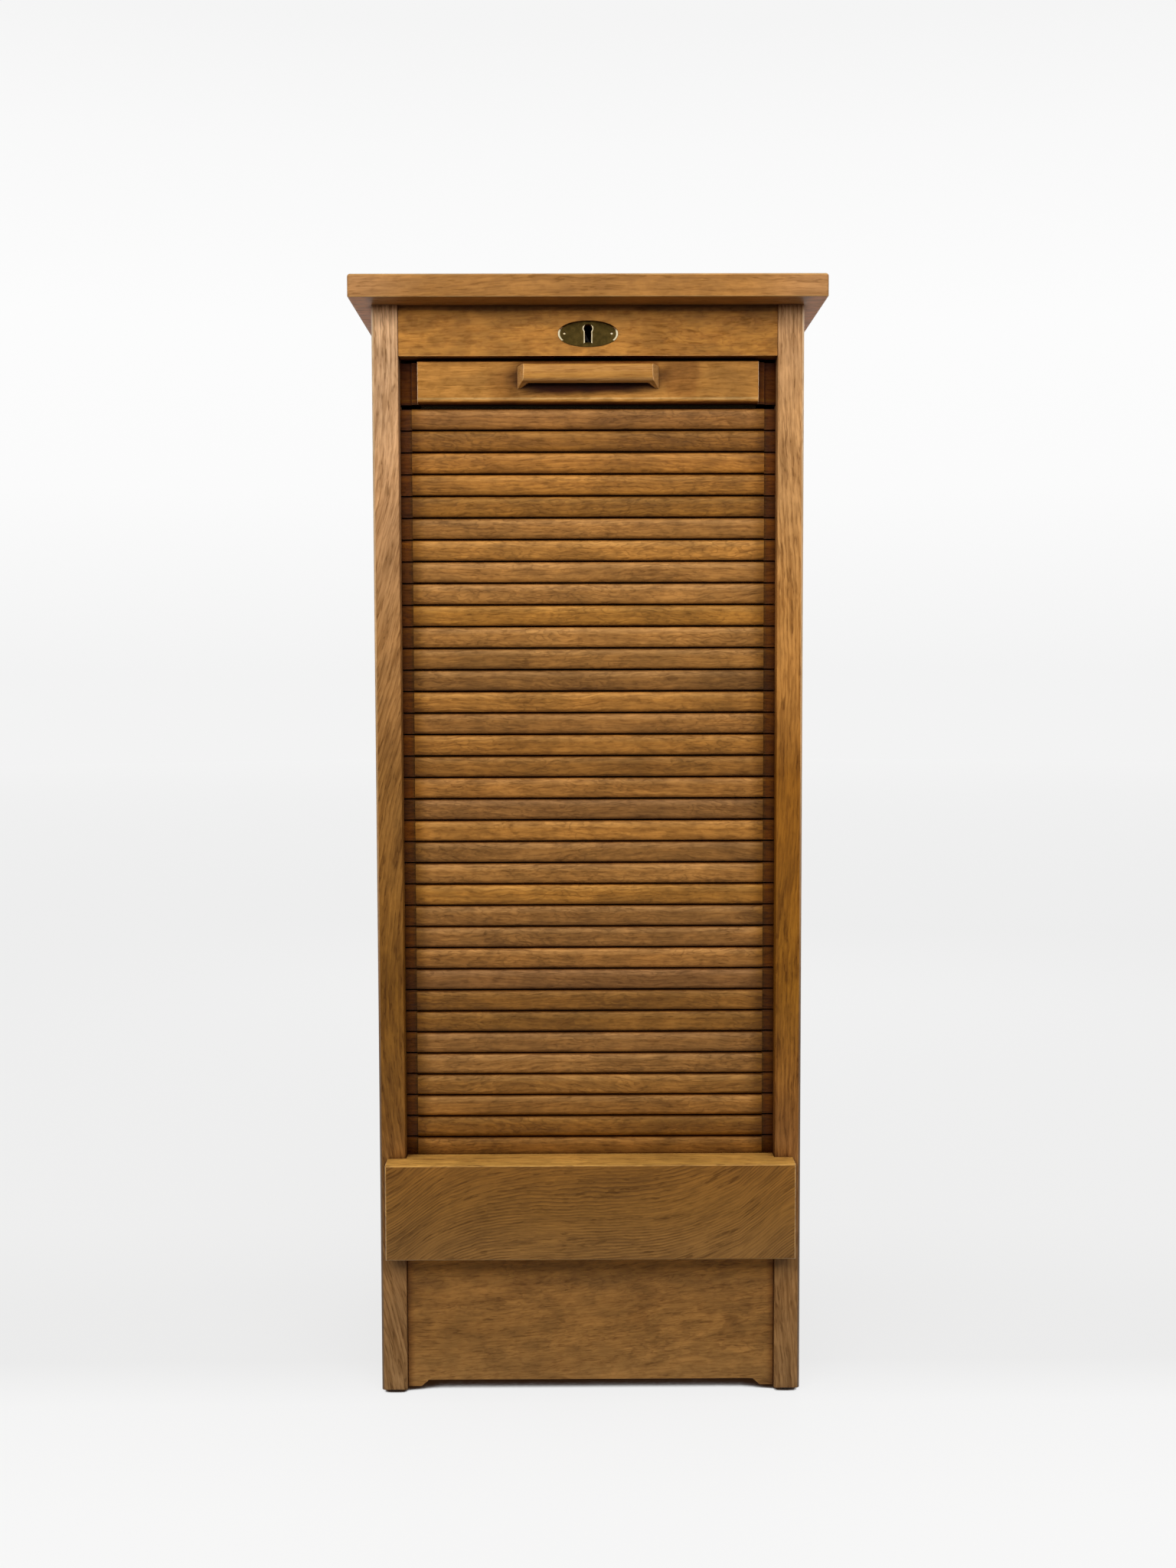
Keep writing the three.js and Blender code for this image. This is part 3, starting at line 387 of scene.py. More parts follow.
def metal(name, clean, tarnish, speckle, rough, grain=(900.0, 60.0, 900.0)):
    """Metal with a patina: brushed or turned marks, and tarnish in soft patches over the clean colour."""
    material, tree, shader, place = bare(name)
    patches = put(tree, "ShaderNodeTexNoise", {"Vector": place, "Scale": 180.0, "Detail": 4.0})
    spots = put(tree, "ShaderNodeTexNoise", {"Vector": place, "Scale": 1400.0, "Detail": 2.0})
    stretched = put(tree, "ShaderNodeVectorMath", {0: place, 1: grain}, operation="MULTIPLY")
    marks = put(tree, "ShaderNodeTexNoise", {"Vector": stretched, "Scale": 1.0, "Detail": 3.0})
    colour = stain(tarnish)
    for noise, low, high, tint in ((patches, 0.35, 0.75, clean), (spots, 0.60, 0.72, speckle)):
        share = put(tree, "ShaderNodeMapRange", {"Value": noise, 1: low, 2: high})
        colour = put(tree, "ShaderNodeMix", {0: share, 6: colour, 7: stain(tint)}, data_type="RGBA")
    roughness = put(tree, "ShaderNodeMapRange", {"Value": marks, 1: 0.3, 2: 0.7, 3: rough - 0.06,
                                                 4: rough + 0.1})
    bump = put(tree, "ShaderNodeBump", {"Strength": 0.12, "Distance": 0.0001, "Height": marks})
    feed(shader, {"Base Color": colour, "Metallic": 1.0, "Roughness": roughness, "Normal": bump})
    return material


def screw_head(work, centre, facing, radius, proud, slot, turn):
    """A countersunk slotted head, flat but for a small dome, facing along Y or Z."""
    sunk = 0.0004
    rings = ((0.45, proud * 0.95), (0.85, proud * 0.55), (1.0, 0.0), (1.0, -sunk))
    side = Vector((1, 0, 0))
    up = facing.cross(side)
    count = 20
    loops = []
    for share, rise in rings:
        loop = []
        for step in range(count):
            angle = 2 * math.pi * step / count + turn
            across = side * math.cos(angle) + up * math.sin(angle)
            groove = proud + sunk if abs(math.sin(angle - turn)) * share * radius < slot / 2 else 0.0
            loop.append(work.verts.new(centre + across * radius * share + facing * (rise - groove)))
        loops.append(loop)
    middle = work.verts.new(centre - facing * sunk)
    floor = work.verts.new(centre - facing * sunk * 2)
    for step in range(count):
        after = (step + 1) % count
        work.faces.new((middle, loops[0][step], loops[0][after]))
        for inner, outer in zip(loops, loops[1:]):
            work.faces.new((inner[step], outer[step], outer[after], inner[after]))
        work.faces.new((floor, loops[-1][after], loops[-1][step]))


def finished(name, work, *finishes):
    """Closes a hand-built mesh and makes it a piece with these finishes."""
    bmesh.ops.recalc_face_normals(work, faces=work.faces)
    mesh = bpy.data.meshes.new(name)
    work.to_mesh(mesh)
    work.free()
    return placed(name, mesh, *finishes)


# Turned brass that has been indoors for a century: dull brown, with clean metal in soft patches.
screw_brass = metal("aged brass, screws", "#a8894a", "#6b562c", "#3c3018", 0.36)
low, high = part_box("back_panel")
work = bmesh.new()
spots = []
rows = round((high.z - low.z - 2 * SCREW_EDGE) / SCREW_SPACING)
for row in range(rows + 1):
    height = low.z + SCREW_EDGE + (high.z - low.z - 2 * SCREW_EDGE) * row / rows
    spots += [(low.x + SCREW_EDGE / 2, height), (high.x - SCREW_EDGE / 2, height)]
ends = (low.z + SCREW_EDGE / 2, high.z - SCREW_EDGE / 2)
spots += [(x, end) for x in (-END_SCREW, END_SCREW) for end in ends]
for index, (x, z) in enumerate(spots):
    screw_head(work, Vector((x, high.y, z)), Vector((0, 1, 0)), SCREW_HEAD, SCREW_PROUD, SCREW_SLOT,
               index * 1.7)
back_screws = finished("back_screws", work, screw_brass)
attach(back_screws, "carcase")

# Cross board: one wide flat-sawn oak board, lapped over the front edges of the sides and
# screwed from inside. The tree was crooked, so its rings run level in the middle of the face
# and climb steeply, in waves, at both ends.
CROSS_PALE = "#97682e"
CROSS_BROWN = "#5d3c18"
CROSS_PORE = "#45280b"
CROSS_LIT_TOP = "#d39f4e"
CROSS_ARRIS = 0.0009
CROSS_PITH = (0.0, -0.12, 0.60)
# The face is paler and greyer towards its lower edge, and warmer towards the top.
CROSS_HEIGHT_TONES = ((0.0, 1.16, 1.24, 1.59), (1.2, 0.94, 0.895, 0.80), (0.165, 1.16, 1.24, 1.59),
              (0.21, 0.99, 1.00, 1.02), (0.25, 0.94, 0.895, 0.80))
CROSS_BEND = ((-0.22, 0.075), (0.22, -0.085), (-0.19, 0.050), (-0.16, 0.028), (-0.12, 0.010),
              (-0.06, 0.0), (0.06, 0.0), (0.11, -0.010), (0.16, -0.032), (0.19, -0.055))

cross_oak = stained_oak("waxed oak, cross board", CROSS_PALE, CROSS_BROWN, CROSS_PORE, "x", CROSS_PITH,
                        ring=0.0034, wander=0.0060, rings=1.0, streaks=0.25, pores=0.55, flecks=0.1,
                        clouds=0.10, seed=4.6, bend=CROSS_BEND, height_tones=CROSS_HEIGHT_TONES)
cross_lit_top_finish = stained_oak("waxed oak, cross board top and arrises, painted light", CROSS_LIT_TOP, CROSS_PALE, CROSS_BROWN, "x",
                         CROSS_PITH, seed=4.6, rings=0.4, rough=0.36, shine=0.4)
# The up-facing top face gets the paler finish: painted light, lighter than the front as if lit from above.
cross = eased("cross_board", "cross_board_oak", CROSS_ARRIS, cross_oak, cross_lit_top_finish, 2,
              lambda face: face.normal.z > 0.9)
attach(cross, "carcase")
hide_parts("cross_board")

# Plinth panel: a quarter-sawn oak board set back between the sides, with a low arch sawn in its
# lower edge. The cut along the rays gives a flecked face. Its ends, beside the uprights, are
# darkened with painted shade, and its top is lightened with painted light where the cross board's
# shadow falls.
PLINTH_PALE = "#a6753b"
PLINTH_BROWN = "#784f23"
PLINTH_PORE = "#4f2c11"
PLINTH_WORN = "#a87b48"
PLINTH_ARRIS = 0.0006
PLINTH_HEIGHT_LIGHT = ((0.0, 1.03, 1.10, 1.28), (1.2, 2.1, 1.95, 1.5), (0.07, 1.0, 1.0, 1.0),
               (0.122, 0.97, 0.96, 0.96), (0.131, 1.25, 1.22, 1.12), (0.139, 1.75, 1.65, 1.27),
               (0.150, 2.1, 1.95, 1.5))
PLINTH_END_SHADE = ((0.2015, 0.010, 0.62, 0.52, 0.42),)

plinth_oak = stained_oak("waxed oak, plinth", PLINTH_PALE, PLINTH_BROWN, PLINTH_PORE, "x", (0, 0.6, 0.10),
                         0.10, wander=0.006, streaks=0.30, pores=0.45, flecks=0.3, flames=0.30,
                         clouds=0.12, seed=5.2, corners=(0.004, 0.10, 0.40), height_tones=PLINTH_HEIGHT_LIGHT,
                         end_shade=PLINTH_END_SHADE)
plinth_worn = stained_oak("waxed oak arris, plinth", PLINTH_WORN, PLINTH_PALE, PLINTH_BROWN, seed=5.2)
plinth = eased("plinth_panel", "plinth_panel_oak", PLINTH_ARRIS, plinth_oak, plinth_worn)
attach(plinth, "carcase")
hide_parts("plinth_panel")

# Top rail: a quarter-sawn oak rail tenoned between the sides, with the keyhole cut through it.
# Its face has cloudy stain and a fine mottle of rays. Its eased arrises get a pale finish, a
# painted highlight that shows most on the lower arris.
RAIL_PALE = "#b47c35"
RAIL_BROWN = "#8d5920"
RAIL_PORE = "#60360d"
RAIL_PALE_HIGHLIGHT = "#e2b47c"
RAIL_ARRIS = 0.0015
# A local tint is where its middle is, how wide and high it is, and its share of red, green and
# blue: here a cloud of dark stain on the right, and painted shade under the top board.
RAIL_STAIN_AND_SHADE = (((0.140, 1.150), (0.100, 0.040), 0.91, 0.89, 0.80),
              ((0.0, 1.1730), (0.400, 0.0036), 0.55, 0.55, 0.70))

rail_oak = stained_oak("waxed oak, top rail", RAIL_PALE, RAIL_BROWN, RAIL_PORE, "x", (0.12, 0.30, 1.25),
                       0.03, ring=0.007, wander=0.006, rings=0.4, streaks=0.35, pores=0.4, flecks=0.4,
                       flames=0.25, clouds=0.10, seed=6.4, local_tints=RAIL_STAIN_AND_SHADE, corners=(0.018, 0.35, 0.80))
rail_highlight_finish = stained_oak("waxed oak arris, top rail", RAIL_PALE_HIGHLIGHT, RAIL_PALE, RAIL_BROWN, seed=6.4, rough=0.34,
                        shine=0.4)
rail = eased("top_rail", "top_rail_oak", RAIL_ARRIS, rail_oak, rail_highlight_finish, 3)
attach(rail, "carcase")
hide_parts("top_rail")

# Lock: a blackened steel case let into the back of the rail, riveted at its four corners, with
# a hook that swings down into the lead rail. The key goes in through the rail from the front.
RIVET_RADIUS = 0.0024
RIVET_PROUD = 0.0006
RIVET_INSET = 0.006
LOCK_ARRIS = 0.0004
HOOK_ARRIS = 0.0003

# Oil-blackened sheet steel is nearly black and matt, kept so dark that through the keyhole the case
# reads as painted shade; the filed hook is grey, with fine file marks.
lock_steel = metal("blackened steel, lock case", "#0b0a09", "#070606", "#0d0905", 0.6)
hook_steel = metal("filed steel, hook", "#3b3936", "#2a2825", "#241b14", 0.42, (60.0, 900.0, 900.0))
case = eased("lock_case", "lock_case_steel", LOCK_ARRIS, lock_steel, hook_steel)
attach(case, "carcase")
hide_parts("lock_case")
low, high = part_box("lock_case")
work = bmesh.new()
for x in (low.x + RIVET_INSET, high.x - RIVET_INSET):
    for z in (low.z + RIVET_INSET, high.z - RIVET_INSET):
        rivet = bmesh.ops.create_uvsphere(work, u_segments=16, v_segments=8, radius=RIVET_RADIUS)
        for vertex in rivet["verts"]:
            x_off, y_off, z_off = vertex.co
            vertex.co = Vector((x + x_off, high.y + y_off * RIVET_PROUD / RIVET_RADIUS, z + z_off))
rivets = finished("lock_case_rivets", work, hook_steel)
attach(rivets, "carcase")
hook = eased("hook_bolt", "hook_bolt_steel", HOOK_ARRIS, hook_steel, hook_steel)
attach(hook, "hook")
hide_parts("hook_bolt")

# Escutcheon: a pressed oval brass plate gone dark olive, with a bevelled edge, a raised rim round
# the keyhole, and two round-headed brass pins that hold it on the rail. The rim, which keys keep
# bright, the pins and the ends of the bevel are drawn near white: painted highlights.
PLATE_WIDTH = 0.0634
PLATE_HEIGHT = 0.0273
PLATE_THICKNESS = 0.0016
PLATE_BEVEL_WIDTH = 0.0017
PLATE_BEVEL_DEPTH = 0.0009
RIM_WIDTH = 0.0015
RIM_PROUD = 0.0005
PIN_SPAN = 0.050
PIN_RADIUS = 0.0017
PIN_SUNK = 0.0004
KEYHOLE_RADIUS = 0.0045
KEYHOLE_RISE = 0.0055
KEYHOLE_HALF_SLOT = 0.0033
KEYHOLE_DROP = 0.0093
OVAL_FULLNESS = 0.93


def oval(width, height):
    """The plate's outline: an oval a little fuller than an ellipse."""
    steps = 96
    points = []
    for step in range(steps):
        angle = 2 * math.pi * step / steps
        c, s = math.cos(angle), math.sin(angle)
        points.append((width / 2 * math.copysign(abs(c) ** OVAL_FULLNESS, c),
                       height / 2 * math.copysign(abs(s) ** OVAL_FULLNESS, s)))
    return points


def keyhole(grow):
    """A round head over a straight slot, grown outwards by this much."""
    radius, slot = KEYHOLE_RADIUS + grow, KEYHOLE_HALF_SLOT + grow
    start = -math.acos(slot / radius)
    points = [(-slot, -KEYHOLE_DROP - grow), (slot, -KEYHOLE_DROP - grow)]
    steps = 28
    for step in range(steps + 1):
        angle = start + (math.pi - 2 * start) * step / steps
        points.append((radius * math.cos(angle), KEYHOLE_RISE + radius * math.sin(angle)))
    return points


def loop_of(work, points, centre, forward):
    """A closed loop of corners at this much in front of the rail."""
    made = [work.verts.new((centre.x + x, centre.y - forward, centre.z + z)) for x, z in points]
    for one, other in zip(made, made[1:] + made[:1]):
        work.edges.new((one, other))
    return made


def wall(work, near, far, index=0):
    """Faces between two loops with the same number of corners."""
    for i in range(len(near)):
        j = (i + 1) % len(near)
        work.faces.new((near[i], near[j], far[j], far[i])).material_index = index


dark_brass = metal("tarnished brass, plate", "#655127", "#4a3c1b", "#3b3016", 0.34, (500.0, 500.0, 60.0))
highlight_brass = metal("rubbed brass, rim and pins", "#fff2cf", "#e2cf9f", "#b39b66", 0.2)
lock_centre = Vector((0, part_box("top_rail")[0].y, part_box("escutcheon")[0].z + PLATE_HEIGHT / 2))
work = bmesh.new()
plate_loops = [
    loop_of(work, oval(PLATE_WIDTH - narrower * PLATE_BEVEL_WIDTH, PLATE_HEIGHT - lower * PLATE_BEVEL_WIDTH),
            lock_centre, forward)
    for narrower, lower, forward in ((0, 0, 0.0), (0, 0, PLATE_THICKNESS - PLATE_BEVEL_DEPTH),
                                     (2.2, 1.0, PLATE_THICKNESS - PLATE_BEVEL_DEPTH * 0.3),
                                     (3.4, 1.8, PLATE_THICKNESS))]
rim_loops = [
    loop_of(work, keyhole(RIM_WIDTH * wide), lock_centre, forward)
    for wide, forward in ((1.0, PLATE_THICKNESS), (0.75, PLATE_THICKNESS + RIM_PROUD),
                          (0.25, PLATE_THICKNESS + RIM_PROUD), (0.0, PLATE_THICKNESS + RIM_PROUD * 0.4),
                          (0.0, 0.0))]
for loops, finishes in ((plate_loops, (0, 1, 0)), (rim_loops, (1, 1, 1, 0))):
    for near, far, finish in zip(loops, loops[1:], finishes):
        wall(work, near, far, finish)
for outer, inner in ((plate_loops[-1], rim_loops[0]), (plate_loops[0], rim_loops[-1])):
    flat = set(outer) | set(inner)
    ring = [e for e in work.edges if e.verts[0] in flat and e.verts[1] in flat and len(e.link_faces) == 1]
    bmesh.ops.triangle_fill(work, use_beauty=True, edges=ring, normal=(0, 1, 0))
# Only the two ends of the plate's bevel get the bright brass: painted highlights where the bevel catches the
# light.
for face in work.faces:
    middle = face.calc_center_median() - lock_centre
    if face.material_index == 1 and KEYHOLE_RADIUS + RIM_WIDTH < math.hypot(middle.x, middle.z) * 0.65:
        face.material_index = 1 if abs(middle.x) > PLATE_WIDTH * 0.43 else 0
for hand in (-1, 1):
    before = len(work.faces)
    pin = bmesh.ops.create_uvsphere(work, u_segments=20, v_segments=10, radius=PIN_RADIUS)
    for vertex in pin["verts"]:
        vertex.co = vertex.co + lock_centre + Vector((hand * PIN_SPAN / 2, PIN_SUNK - PLATE_THICKNESS, 0))
    work.faces.ensure_lookup_table()
    for face in work.faces[before:]:
        face.material_index = 1
escutcheon = finished("escutcheon_brass", work, dark_brass, highlight_brass)
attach(escutcheon, "carcase")
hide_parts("escutcheon")

# Top board: one wide oak board with a small round on every edge, screwed up from inside. Its
# front edge shows long grain. Its rounds get a paler finish that is partly a painted highlight,
# and its lower round and underside are lightened near both ends with painted light.
TOP_PALE = "#ae783a"
TOP_BROWN = "#845624"
TOP_PORE = "#58330f"
TOP_PALE_HIGHLIGHT = "#bc8f53"
TOP_PITH = (0, -0.02, 1.06)
TOP_PALER_ENDS = ((0.249, 0.10, 1.08, 1.18, 1.80),)
TOP_UNDERSIDE_LIGHT = [((x, 1.1752), (0.018, 0.0016), 2.1, 1.9, 1.6) for x in (-0.245, 0.245)]
TOP_UPPER_ROUND = 0.0030
TOP_LOWER_ROUND = 0.0014
TOP_CORNER = 0.0033
ROUND_STEPS = 5

top_oak = stained_oak("waxed oak, top", TOP_PALE, TOP_BROWN, TOP_PORE, "x", TOP_PITH, 0.02, ring=0.0055,
                      streaks=0.35, pores=0.4, clouds=0.10, seed=2.2, end_shade=TOP_PALER_ENDS,
                      local_tints=TOP_UNDERSIDE_LIGHT)
top_highlight_finish = stained_oak("waxed oak arris, top", TOP_PALE_HIGHLIGHT, TOP_PALE, TOP_BROWN, "x", TOP_PITH, seed=2.2,
                       rough=0.34, shine=0.4)


def capped(work, rings):
    """Walls between one ring of corners and the next, from the lowest up, and a face at each end."""
    for under, over in zip(rings, rings[1:]):
        wall(work, under, over)
    work.faces.new(rings[0][::-1])
    work.faces.new(rings[-1])


# The board has a quarter round along its upper edges, a smaller one below, and round corners.
low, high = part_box("top_board")
angles = [math.pi / 2 * step / ROUND_STEPS for step in range(ROUND_STEPS + 1)]
levels = []
for angle in angles:
    up, inward = 1 - math.sin(angle), 1 - math.cos(angle)
    levels.append((low.z + TOP_LOWER_ROUND * up, TOP_LOWER_ROUND * inward))
    levels.append((high.z - TOP_UPPER_ROUND * up, TOP_UPPER_ROUND * inward))
work = bmesh.new()
rings = []
for z, inset in sorted(levels):
    reach = max(TOP_CORNER - inset, 0.0002)
    left, right = low.x + inset + reach, high.x - inset - reach
    front, rear = low.y + inset + reach, high.y - inset - reach
    quarters = ((right, rear, 0.0), (left, rear, math.pi / 2), (left, front, math.pi),
                (right, front, math.pi * 1.5))
    rings.append([work.verts.new((x + reach * math.cos(start + angle),
                                  y + reach * math.sin(start + angle), z))
                  for x, y, start in quarters for angle in angles])
capped(work, rings)
top = finished("top_board_oak", work, top_oak, top_highlight_finish)
# The rounds get the paler finish, partly a painted highlight.
for face in top.data.polygons:
    if 0.2 < abs(face.normal.z) < 0.97:
        face.material_index = 1
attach(top, "carcase")
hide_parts("top_board")

# Slats: oak strips moulded in one length, cut up and glued to canvas. Each has a flat face with
# both long edges rounded back, and a shoulder near each end where its tongue enters the groove.
SLAT_COUNT = 35
SLAT_PITCH = 0.02325
FIRST_GAP_LINE = 1.0475 + SLAT_PITCH
SLAT_HEIGHT = 0.02185
SLAT_THICKNESS = 0.012
SLAT_BACK = -0.1505
SLAT_EDGE_DEPTH = 0.0030
SLAT_EDGE_HEIGHT = 0.0052
SLAT_SHOULDER_WIDTH = 0.377
TONGUE_WIDTH = 0.418
TONGUE_THICKNESS = 0.006
SLAT_PLAY = 0.00018
SLAT_ARRIS = 0.0006
SLAT_PALE = "#a97434"
SLAT_BROWN = "#72481b"
SLAT_PORE = "#492909"
SLAT_WORN = "#a97d45"
SLAT_PITH = (0, -0.115, 0.72)

# Towards the shouldered ends, beside the uprights, the slats are darkened: painted shade of the uprights,
# over some dirt and old wax left where the rubber can't reach.
SLAT_END_SHADE_AND_DIRT = ((0.1905, 0.0210, 0.50, 0.44, 0.22), (0.1925, 0.0030, 0.80, 0.61, 0.27))
# The slats' colour is scaled by height, partly as painted light fall-off.
SLAT_HEIGHT_TONES = ((0.0, 0.84, 0.84, 0.86), (1.2, 0.77, 0.73, 0.72), (0.28, 0.74, 0.68, 0.50),
             (0.35, 0.94, 0.96, 1.08), (0.45, 0.75, 0.73, 0.86), (0.56, 1.20, 1.19, 1.18),
             (0.69, 0.80, 0.78, 0.93), (0.80, 0.96, 0.95, 0.93), (0.92, 1.02, 1.01, 1.0),
             (1.02, 0.83, 0.775, 0.73))
# What both slat finishes share: painted shade at the ends and in the corners, tones by height, and each
# slat's own hue with its painted highlight and shade.
SLAT_TONES_AND_SHADE = {"seed": 8.0, "height_tones": SLAT_HEIGHT_TONES, "end_shade": SLAT_END_SHADE_AND_DIRT, "corners": (0.013, 0.22, 0.86),
             "each_slat": (FIRST_GAP_LINE, SLAT_PITCH)}

slat_oak = stained_oak("waxed oak, slats", SLAT_PALE, SLAT_BROWN, SLAT_PORE, "x", SLAT_PITH, ring=0.0045,
                       wander=0.009, streaks=0.35, pores=0.4, flecks=0.30, flames=0.36, **SLAT_TONES_AND_SHADE)
slat_worn = stained_oak("waxed oak arris, slats", SLAT_WORN, SLAT_PALE, SLAT_BROWN, "x", SLAT_PITH,
                        ring=0.0048, wander=0.007, rings=0.5, streaks=0.3, pores=0.3, shine=0.3, **SLAT_TONES_AND_SHADE)

slat_rows = bpy.data.node_groups.new("slat rows", "GeometryNodeTree")
sizes = {}
for label, kind, value in (
        ("Slats", "Int", 1), ("First number", "Int", 1), ("First centre", "Float", 1.0),
        ("Pitch", "Float", SLAT_PITCH), ("Height", "Float", SLAT_HEIGHT),
        ("Thickness", "Float", SLAT_THICKNESS), ("Back", "Float", SLAT_BACK),
        ("Edge depth", "Float", SLAT_EDGE_DEPTH), ("Edge height", "Float", SLAT_EDGE_HEIGHT),
        ("Shoulder width", "Float", SLAT_SHOULDER_WIDTH), ("Tongue width", "Float", TONGUE_WIDTH),
        ("Tongue thickness", "Float", TONGUE_THICKNESS), ("Play", "Float", SLAT_PLAY),
        ("Finish", "Material", None)):
    socket = slat_rows.interface.new_socket(name=label, in_out="INPUT", socket_type=f"NodeSocket{kind}")
    if value is not None:
        socket.default_value = value
    sizes[label] = socket.identifier
slat_rows.interface.new_socket(name="Slats made", in_out="OUTPUT", socket_type="NodeSocketGeometry")

tree = slat_rows
given = put(tree, "NodeGroupInput").outputs
# The slat's own section is drawn squeezed, so that round fillets come out as tall ellipses.
squeeze = put(tree, "ShaderNodeMath", {0: given["Edge depth"], 1: given["Edge height"]}, operation="DIVIDE")
squeezed = put(tree, "ShaderNodeMath", {0: given["Height"], 1: squeeze}, operation="MULTIPLY")
face = put(tree, "GeometryNodeCurvePrimitiveQuadrilateral", {"Width": given["Thickness"], "Height": squeezed})
across = put(tree, "ShaderNodeSeparateXYZ", {0: put(tree, "GeometryNodeInputPosition")}).outputs["X"]
at_front = put(tree, "ShaderNodeMath", {0: across, 1: 0.0}, operation="GREATER_THAN")
radius = put(tree, "ShaderNodeMath", {0: at_front, 1: given["Edge depth"]}, operation="MULTIPLY")
fillet = put(tree, "GeometryNodeFilletCurve", {"Curve": face, "Count": 5, "Radius": radius}, mode="POLY")
unsqueeze = put(tree, "ShaderNodeMath", {0: 1.0, 1: squeeze}, operation="DIVIDE")
stretch = put(tree, "ShaderNodeCombineXYZ", {0: 1.0, 1: unsqueeze, 2: 1.0})
slat_section = put(tree, "GeometryNodeTransform", {"Geometry": fillet, "Scale": stretch})
# The tongue is a hair lower than the slat and a hair in front of its back, so no two faces coincide.
lower = put(tree, "ShaderNodeMath", {0: given["Height"], 1: 0.0001}, operation="SUBTRACT")
tongue_section = put(tree, "GeometryNodeCurvePrimitiveQuadrilateral",
                     {"Width": given["Tongue thickness"], "Height": lower})
strips = []
for width, section in ((given["Shoulder width"], slat_section), (given["Tongue width"], tongue_section)):
    ends = []
    for share in (-0.5, 0.5):
        along = put(tree, "ShaderNodeMath", {0: width, 1: share}, operation="MULTIPLY")
        ends.append(put(tree, "ShaderNodeCombineXYZ", {0: along}))
    line = put(tree, "GeometryNodeCurvePrimitiveLine", {"Start": ends[0], "End": ends[1]})
    strips.append(put(tree, "GeometryNodeCurveToMesh",
                      {"Curve": line, "Profile Curve": section, "Fill Caps": True}))
thinner = put(tree, "ShaderNodeMath", {0: given["Thickness"], 1: given["Tongue thickness"]},
              operation="SUBTRACT")
behind = put(tree, "ShaderNodeMath", {0: thinner, 1: 0.5, 2: -0.00005}, operation="MULTIPLY_ADD")
set_back = put(tree, "ShaderNodeCombineXYZ", {1: behind})
tongue = put(tree, "GeometryNodeTransform", {"Geometry": strips[1], "Translation": set_back})
slat_body = put(tree, "GeometryNodeMeshBoolean", {"Mesh 2": strips[0]}, operation="UNION", solver="EXACT")
feed(slat_body, {"Mesh 2": tongue})
middle = put(tree, "ShaderNodeMath", {0: given["Thickness"], 1: -0.5, 2: given["Back"]},
             operation="MULTIPLY_ADD")
first = put(tree, "ShaderNodeCombineXYZ", {1: middle, 2: given["First centre"]})
down = put(tree, "ShaderNodeMath", {0: given["Pitch"], 1: -1.0}, operation="MULTIPLY")
step_down = put(tree, "ShaderNodeCombineXYZ", {2: down})
row = put(tree, "GeometryNodeMeshLine", {"Count": given["Slats"], "Start Location": first,
                                         "Offset": step_down})
# Each slat lies a little forward or back in its groove and leans a little, by its own number.
number = put(tree, "ShaderNodeMath", {0: put(tree, "GeometryNodeInputIndex"), 1: given["First number"]},
             operation="ADD")
shake = put(tree, "FunctionNodeRandomValue", {"ID": number, "Seed": 11}, data_type="FLOAT_VECTOR")
centred = put(tree, "ShaderNodeVectorMath", {0: shake, 1: (0.5, 0.5, 0.5)}, operation="SUBTRACT")
forward = put(tree, "ShaderNodeVectorMath", {0: centred, 1: (0.0, 1.0, 0.0)}, operation="MULTIPLY")
play = put(tree, "ShaderNodeMath", {0: given["Play"], 1: 2.0}, operation="MULTIPLY")
reach = put(tree, "ShaderNodeVectorMath", {0: forward, "Scale": play}, operation="SCALE")
settled = put(tree, "GeometryNodeSetPosition", {"Geometry": row, "Offset": reach})
lean = put(tree, "ShaderNodeVectorMath", {0: centred, 1: (0.012, 0.0, 0.0)}, operation="MULTIPLY")
laid = put(tree, "GeometryNodeInstanceOnPoints", {"Points": settled, "Instance": slat_body,
                                                  "Rotation": lean})
real = put(tree, "GeometryNodeRealizeInstances", {0: laid})
coated = put(tree, "GeometryNodeSetMaterial", {"Geometry": real, "Material": given["Finish"]})
put(tree, "NodeGroupOutput", {0: coated})

slat_bodies = [("shutter", 1, 6)] + [(f"slat_{n:02d}", n, 1) for n in range(7, SLAT_COUNT + 1)]
for body_name, first_number, count in slat_bodies:
    carrier = bpy.data.objects.new("slat blank", bpy.data.meshes.new("slat blank"))
    bpy.context.scene.collection.objects.link(carrier)
    rows = carrier.modifiers.new("slat rows", "NODES")
    rows.node_group = slat_rows
    rows[sizes["Slats"]] = count
    rows[sizes["First number"]] = first_number
    rows[sizes["First centre"]] = FIRST_GAP_LINE - SLAT_PITCH * (first_number - 0.5)
    rows[sizes["Finish"]] = slat_oak
    cut = bpy.data.meshes.new_from_object(carrier.evaluated_get(bpy.context.evaluated_depsgraph_get()))
    bpy.data.objects.remove(carrier)
    name = f"slats_{first_number:02d}_{first_number + count - 1:02d}_oak" if count > 1 else body_name + "_oak"
    slats = rounded(name, cut, SLAT_ARRIS, slat_oak, slat_worn)
    for face in cut.polygons:
        face.material_index = 0
    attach(slats, body_name)
    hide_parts(*[f"slat_{n:02d}" for n in range(first_number, first_number + count)])

